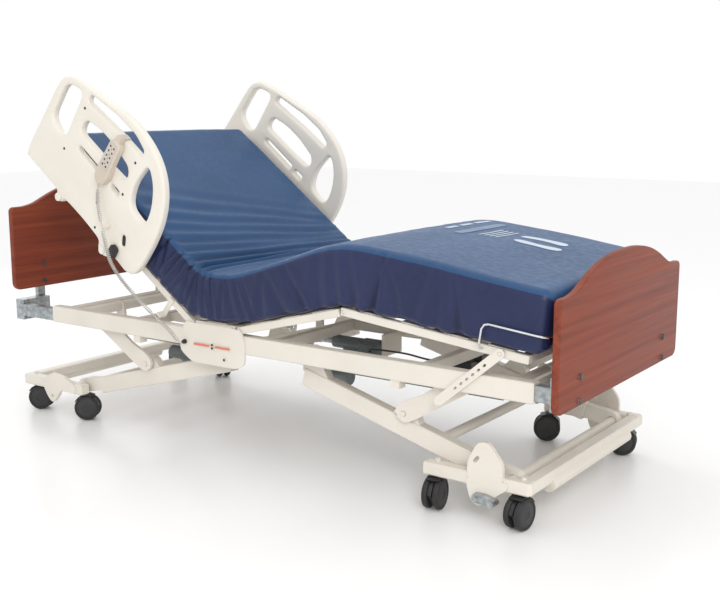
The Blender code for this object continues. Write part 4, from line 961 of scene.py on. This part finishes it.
# ---- handset, its keys and its curly cord ----
def build_handset():
    key_step = 0.0185
    plane = back_plane(HANDSET_BACK - 0.0312)
    film = back_plane(HANDSET_BACK - 0.0304)
    for i in range(5):
        for k, run in enumerate((0.526, 0.544)):
            centre = plane @ Vector((run, 0.252 + key_step * i, 0.0003))
            cap_disc("handset_dot_%d_%d" % (i, k), centre, (0, -1, 0), 0.0036, 0.0007, HUB_GREY,
                     "handset_keys")
    for i in range(4):
        z = 0.2605 + key_step * i
        tip = 0.004 if i % 2 else -0.004
        corners = ((0.535, z + tip, -0.0004), (0.5325, z, -0.0004), (0.5375, z, -0.0004))
        pts = [film @ Vector(q) for q in corners]
        low = [p + Vector((0, 0.0004, 0)) for p in pts]
        faces = [(0, 1, 2), (5, 4, 3), (0, 3, 4, 1), (1, 4, 5, 2), (2, 5, 3, 0)]
        piece("handset_arrow_%d" % i, pts + low, faces, HUB_GREY, "handset_keys", False)


def even_points(points, count):
    """Even points on a smooth curve near the given ones, and its length."""
    dense = []
    for i in range(len(points) - 1):
        a, b, c, d = (Vector(points[min(max(i + k, 0), len(points) - 1)]) for k in (-1, 0, 1, 2))
        for k in range(24):
            dense.append(between(a, b, c, d, k / 24))
    dense.append(Vector(points[-1]))
    for _ in range(3):
        inner = [(dense[i - 1] + dense[i] * 2 + dense[i + 1]) / 4 for i in range(1, len(dense) - 1)]
        dense = [dense[0]] + inner + [dense[-1]]
    lengths = [0.0]
    for p, q in zip(dense, dense[1:]):
        lengths.append(lengths[-1] + (q - p).length)
    out = []
    j = 0
    for i in range(count):
        want = lengths[-1] * i / (count - 1)
        while j < len(dense) - 2 and lengths[j + 1] < want:
            j += 1
        f = (want - lengths[j]) / (lengths[j + 1] - lengths[j])
        out.append(dense[j].lerp(dense[j + 1], min(f, 1.0)))
    return out, lengths[-1]


def twist_free(line):
    """Tangent, side and up at each point, turning as little as possible."""
    out = []
    side = None
    last = len(line) - 1
    for i in range(len(line)):
        t = (line[min(i + 1, last)] - line[max(i - 1, 0)]).normalized()
        side = t.orthogonal().normalized() if side is None else (side - t * side.dot(t)).normalized()
        out.append((t, side, t.cross(side)))
    return out


def cord_path(points, coil_radius, pitch, start_plain, end_plain):
    """The wire's own line: plain at both ends, wound round the route between them."""
    route_points, points_a_turn, least_gap = 400, 14, 8e-4
    spine, total = even_points(points, route_points)
    frames = twist_free(spine)
    wound = max(0.0, total - start_plain - end_plain)
    turns = max(1, round(wound / pitch))
    plain = [i / (len(spine) - 1) * total for i in range(len(spine))]
    stops = [d for d in plain if d < start_plain][::4]
    count = turns * points_a_turn
    stops += [start_plain + wound * k / count for k in range(count + 1)]
    stops += [d for d in plain if d > total - end_plain][::4] + [total]
    path = []
    for d in stops:
        f = d / total * (len(spine) - 1)
        i = min(int(f), len(spine) - 2)
        p = spine[i].lerp(spine[i + 1], f - i)
        _, side, up = frames[i]
        into = d - start_plain
        ease = min(1.0, max(0.0, into / (pitch * 1.5)), max(0.0, (total - end_plain - d) / (pitch * 1.5)))
        a = 2 * math.pi * max(0.0, min(into, wound)) / wound * turns
        r = coil_radius * ease * ease * (3 - 2 * ease)
        path.append(p + (side * math.cos(a) + up * math.sin(a)) * r)
    return [p for i, p in enumerate(path) if i == 0 or (p - path[i - 1]).length > least_gap]


def wire_mesh(name, path, radius, material, sides=8):
    frames = twist_free(path)
    verts = [p + (side * math.cos(2 * math.pi * k / sides) + up * math.sin(2 * math.pi * k / sides)) * radius
             for p, (_, side, up) in zip(path, frames) for k in range(sides)]
    faces = tube_faces(len(path), sides)
    faces.append(tuple(reversed(range(sides))))
    faces.append(tuple(range((len(path) - 1) * sides, len(path) * sides)))
    return piece(name, verts, faces, material)


def build_cord():
    face = HANDSET_BACK
    wire, coil, pitch = 0.0018, 0.0051, 0.0066

    def up_back(run, y, height):
        return back_plane(y) @ Vector((run, height, 0.0))

    exit_point = up_back(0.534, face - 0.0145, 0.1735)
    rail_tab = up_back(0.430, face - 0.0285, 0.070)
    back_tab = up_back(0.110, -0.484, -0.058)
    gland = Vector((FRAME_X - 0.238, MID_Y - 0.4445, 0.384))
    first = [exit_point, up_back(0.528, face - 0.0150, 0.150), up_back(0.490, face - 0.0200, 0.110), rail_tab]
    second = [rail_tab, up_back(0.380, face - 0.0315, 0.035), up_back(0.330, face - 0.0300, 0.0),
              up_back(0.270, face - 0.0120, -0.030), up_back(0.200, -0.500, -0.050), back_tab]
    third = [back_tab, Vector((FRAME_X - 0.275, MID_Y - 0.478, 0.424)),
             Vector((FRAME_X - 0.244, MID_Y - 0.474, 0.394)),
             Vector((FRAME_X - 0.238, MID_Y - 0.462, 0.384)), gland]
    plan = (("handset_cord_lead", first, 0.018, 0.016, "handset", "side_rail_near", "handset_cord_upper"),
            ("handset_cord_curl", second, 0.008, 0.008, "side_rail_near", "back", "handset_cord_upper"),
            ("handset_cord_tail", third, 0.008, 0.024, "back", "frame", "handset_cord_lower"))
    for name, points, plain_start, plain_end, a, b, node in plan:
        path = cord_path(points, coil, pitch, plain_start, plain_end)
        made = wire_mesh(name, path, wire, MATERIALS["coil_cord"])
        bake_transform(made)
        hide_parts(node)
    down = (Vector(first[1]) - exit_point).to_track_quat("Z", "Y").to_matrix().to_4x4()
    lathe("handset_boot", [(0.0060, -0.006), (0.0060, 0.000), (0.0046, 0.004), (0.0050, 0.006),
                           (0.0040, 0.009), (0.0043, 0.011), (0.0030, 0.014)],
          Matrix.Translation(exit_point) @ down, MATERIALS["handset_plastic"], "handset",
          20)
    nut = Matrix.Translation(gland) @ Matrix.Rotation(math.radians(90), 4, "X")
    lathe("cord_gland", [(0.0078, -0.003), (0.0078, 0.004), (0.0068, 0.006), (0.0058, 0.010),
                         (0.0036, 0.014)], nut, MATERIALS["black_plastic"], "frame", 20)


# ---- stripes and rivets on the seat side plate ----
def patch(name, corners, material, body, thick):
    """A thin plate with rounded corners on the rectangle of four corner places."""
    a, b, c, d = (Vector(p) for p in corners)
    u, w = (b - a), (d - a)
    place = Matrix.Translation((a + c) / 2)
    axis = u.normalized().cross(w.normalized()).normalized()
    turn = Matrix((u.normalized(), axis.cross(u.normalized()), axis)).transposed().to_4x4()
    hu, hw = u.length / 2, w.length / 2
    loop = arc_rounded([(-hu, -hw), (hu, -hw), (hu, hw), (-hu, hw)], min(hu, hw) * 0.3, 4)
    made = panel(name, [loop], thick, thick * 0.25, place @ turn, material)
    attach(made, body)


def build_trim():
    x = FRAME_X
    plate_y = MID_Y - 0.4462
    low, high = 0.379, 0.386
    for k, (x0, x1) in enumerate(((-0.195, -0.125), (-0.100, -0.035))):
        corners = ((x + x0, plate_y, low), (x + x1, plate_y, low), (x + x1, plate_y, high),
                   (x + x0, plate_y, high))
        patch("plate_stripe_%d" % k, corners, STRIPE_RED, "frame", 0.0008)
    for k, (dx, dz) in enumerate(((-0.112, 0.3875), (-0.112, 0.3765), (-0.060, 0.344))):
        cap_disc("plate_rivet_%d" % k, (x + dx, plate_y + 0.0002, dz), (0, -1, 0), 0.0042, 0.0018,
                 HUB_GREY, "frame")


set_camera()
set_stage()
dress_frame()
build_mattress()
build_rails()
build_boards()
build_casters()
build_handset()
build_cord()
build_trim()
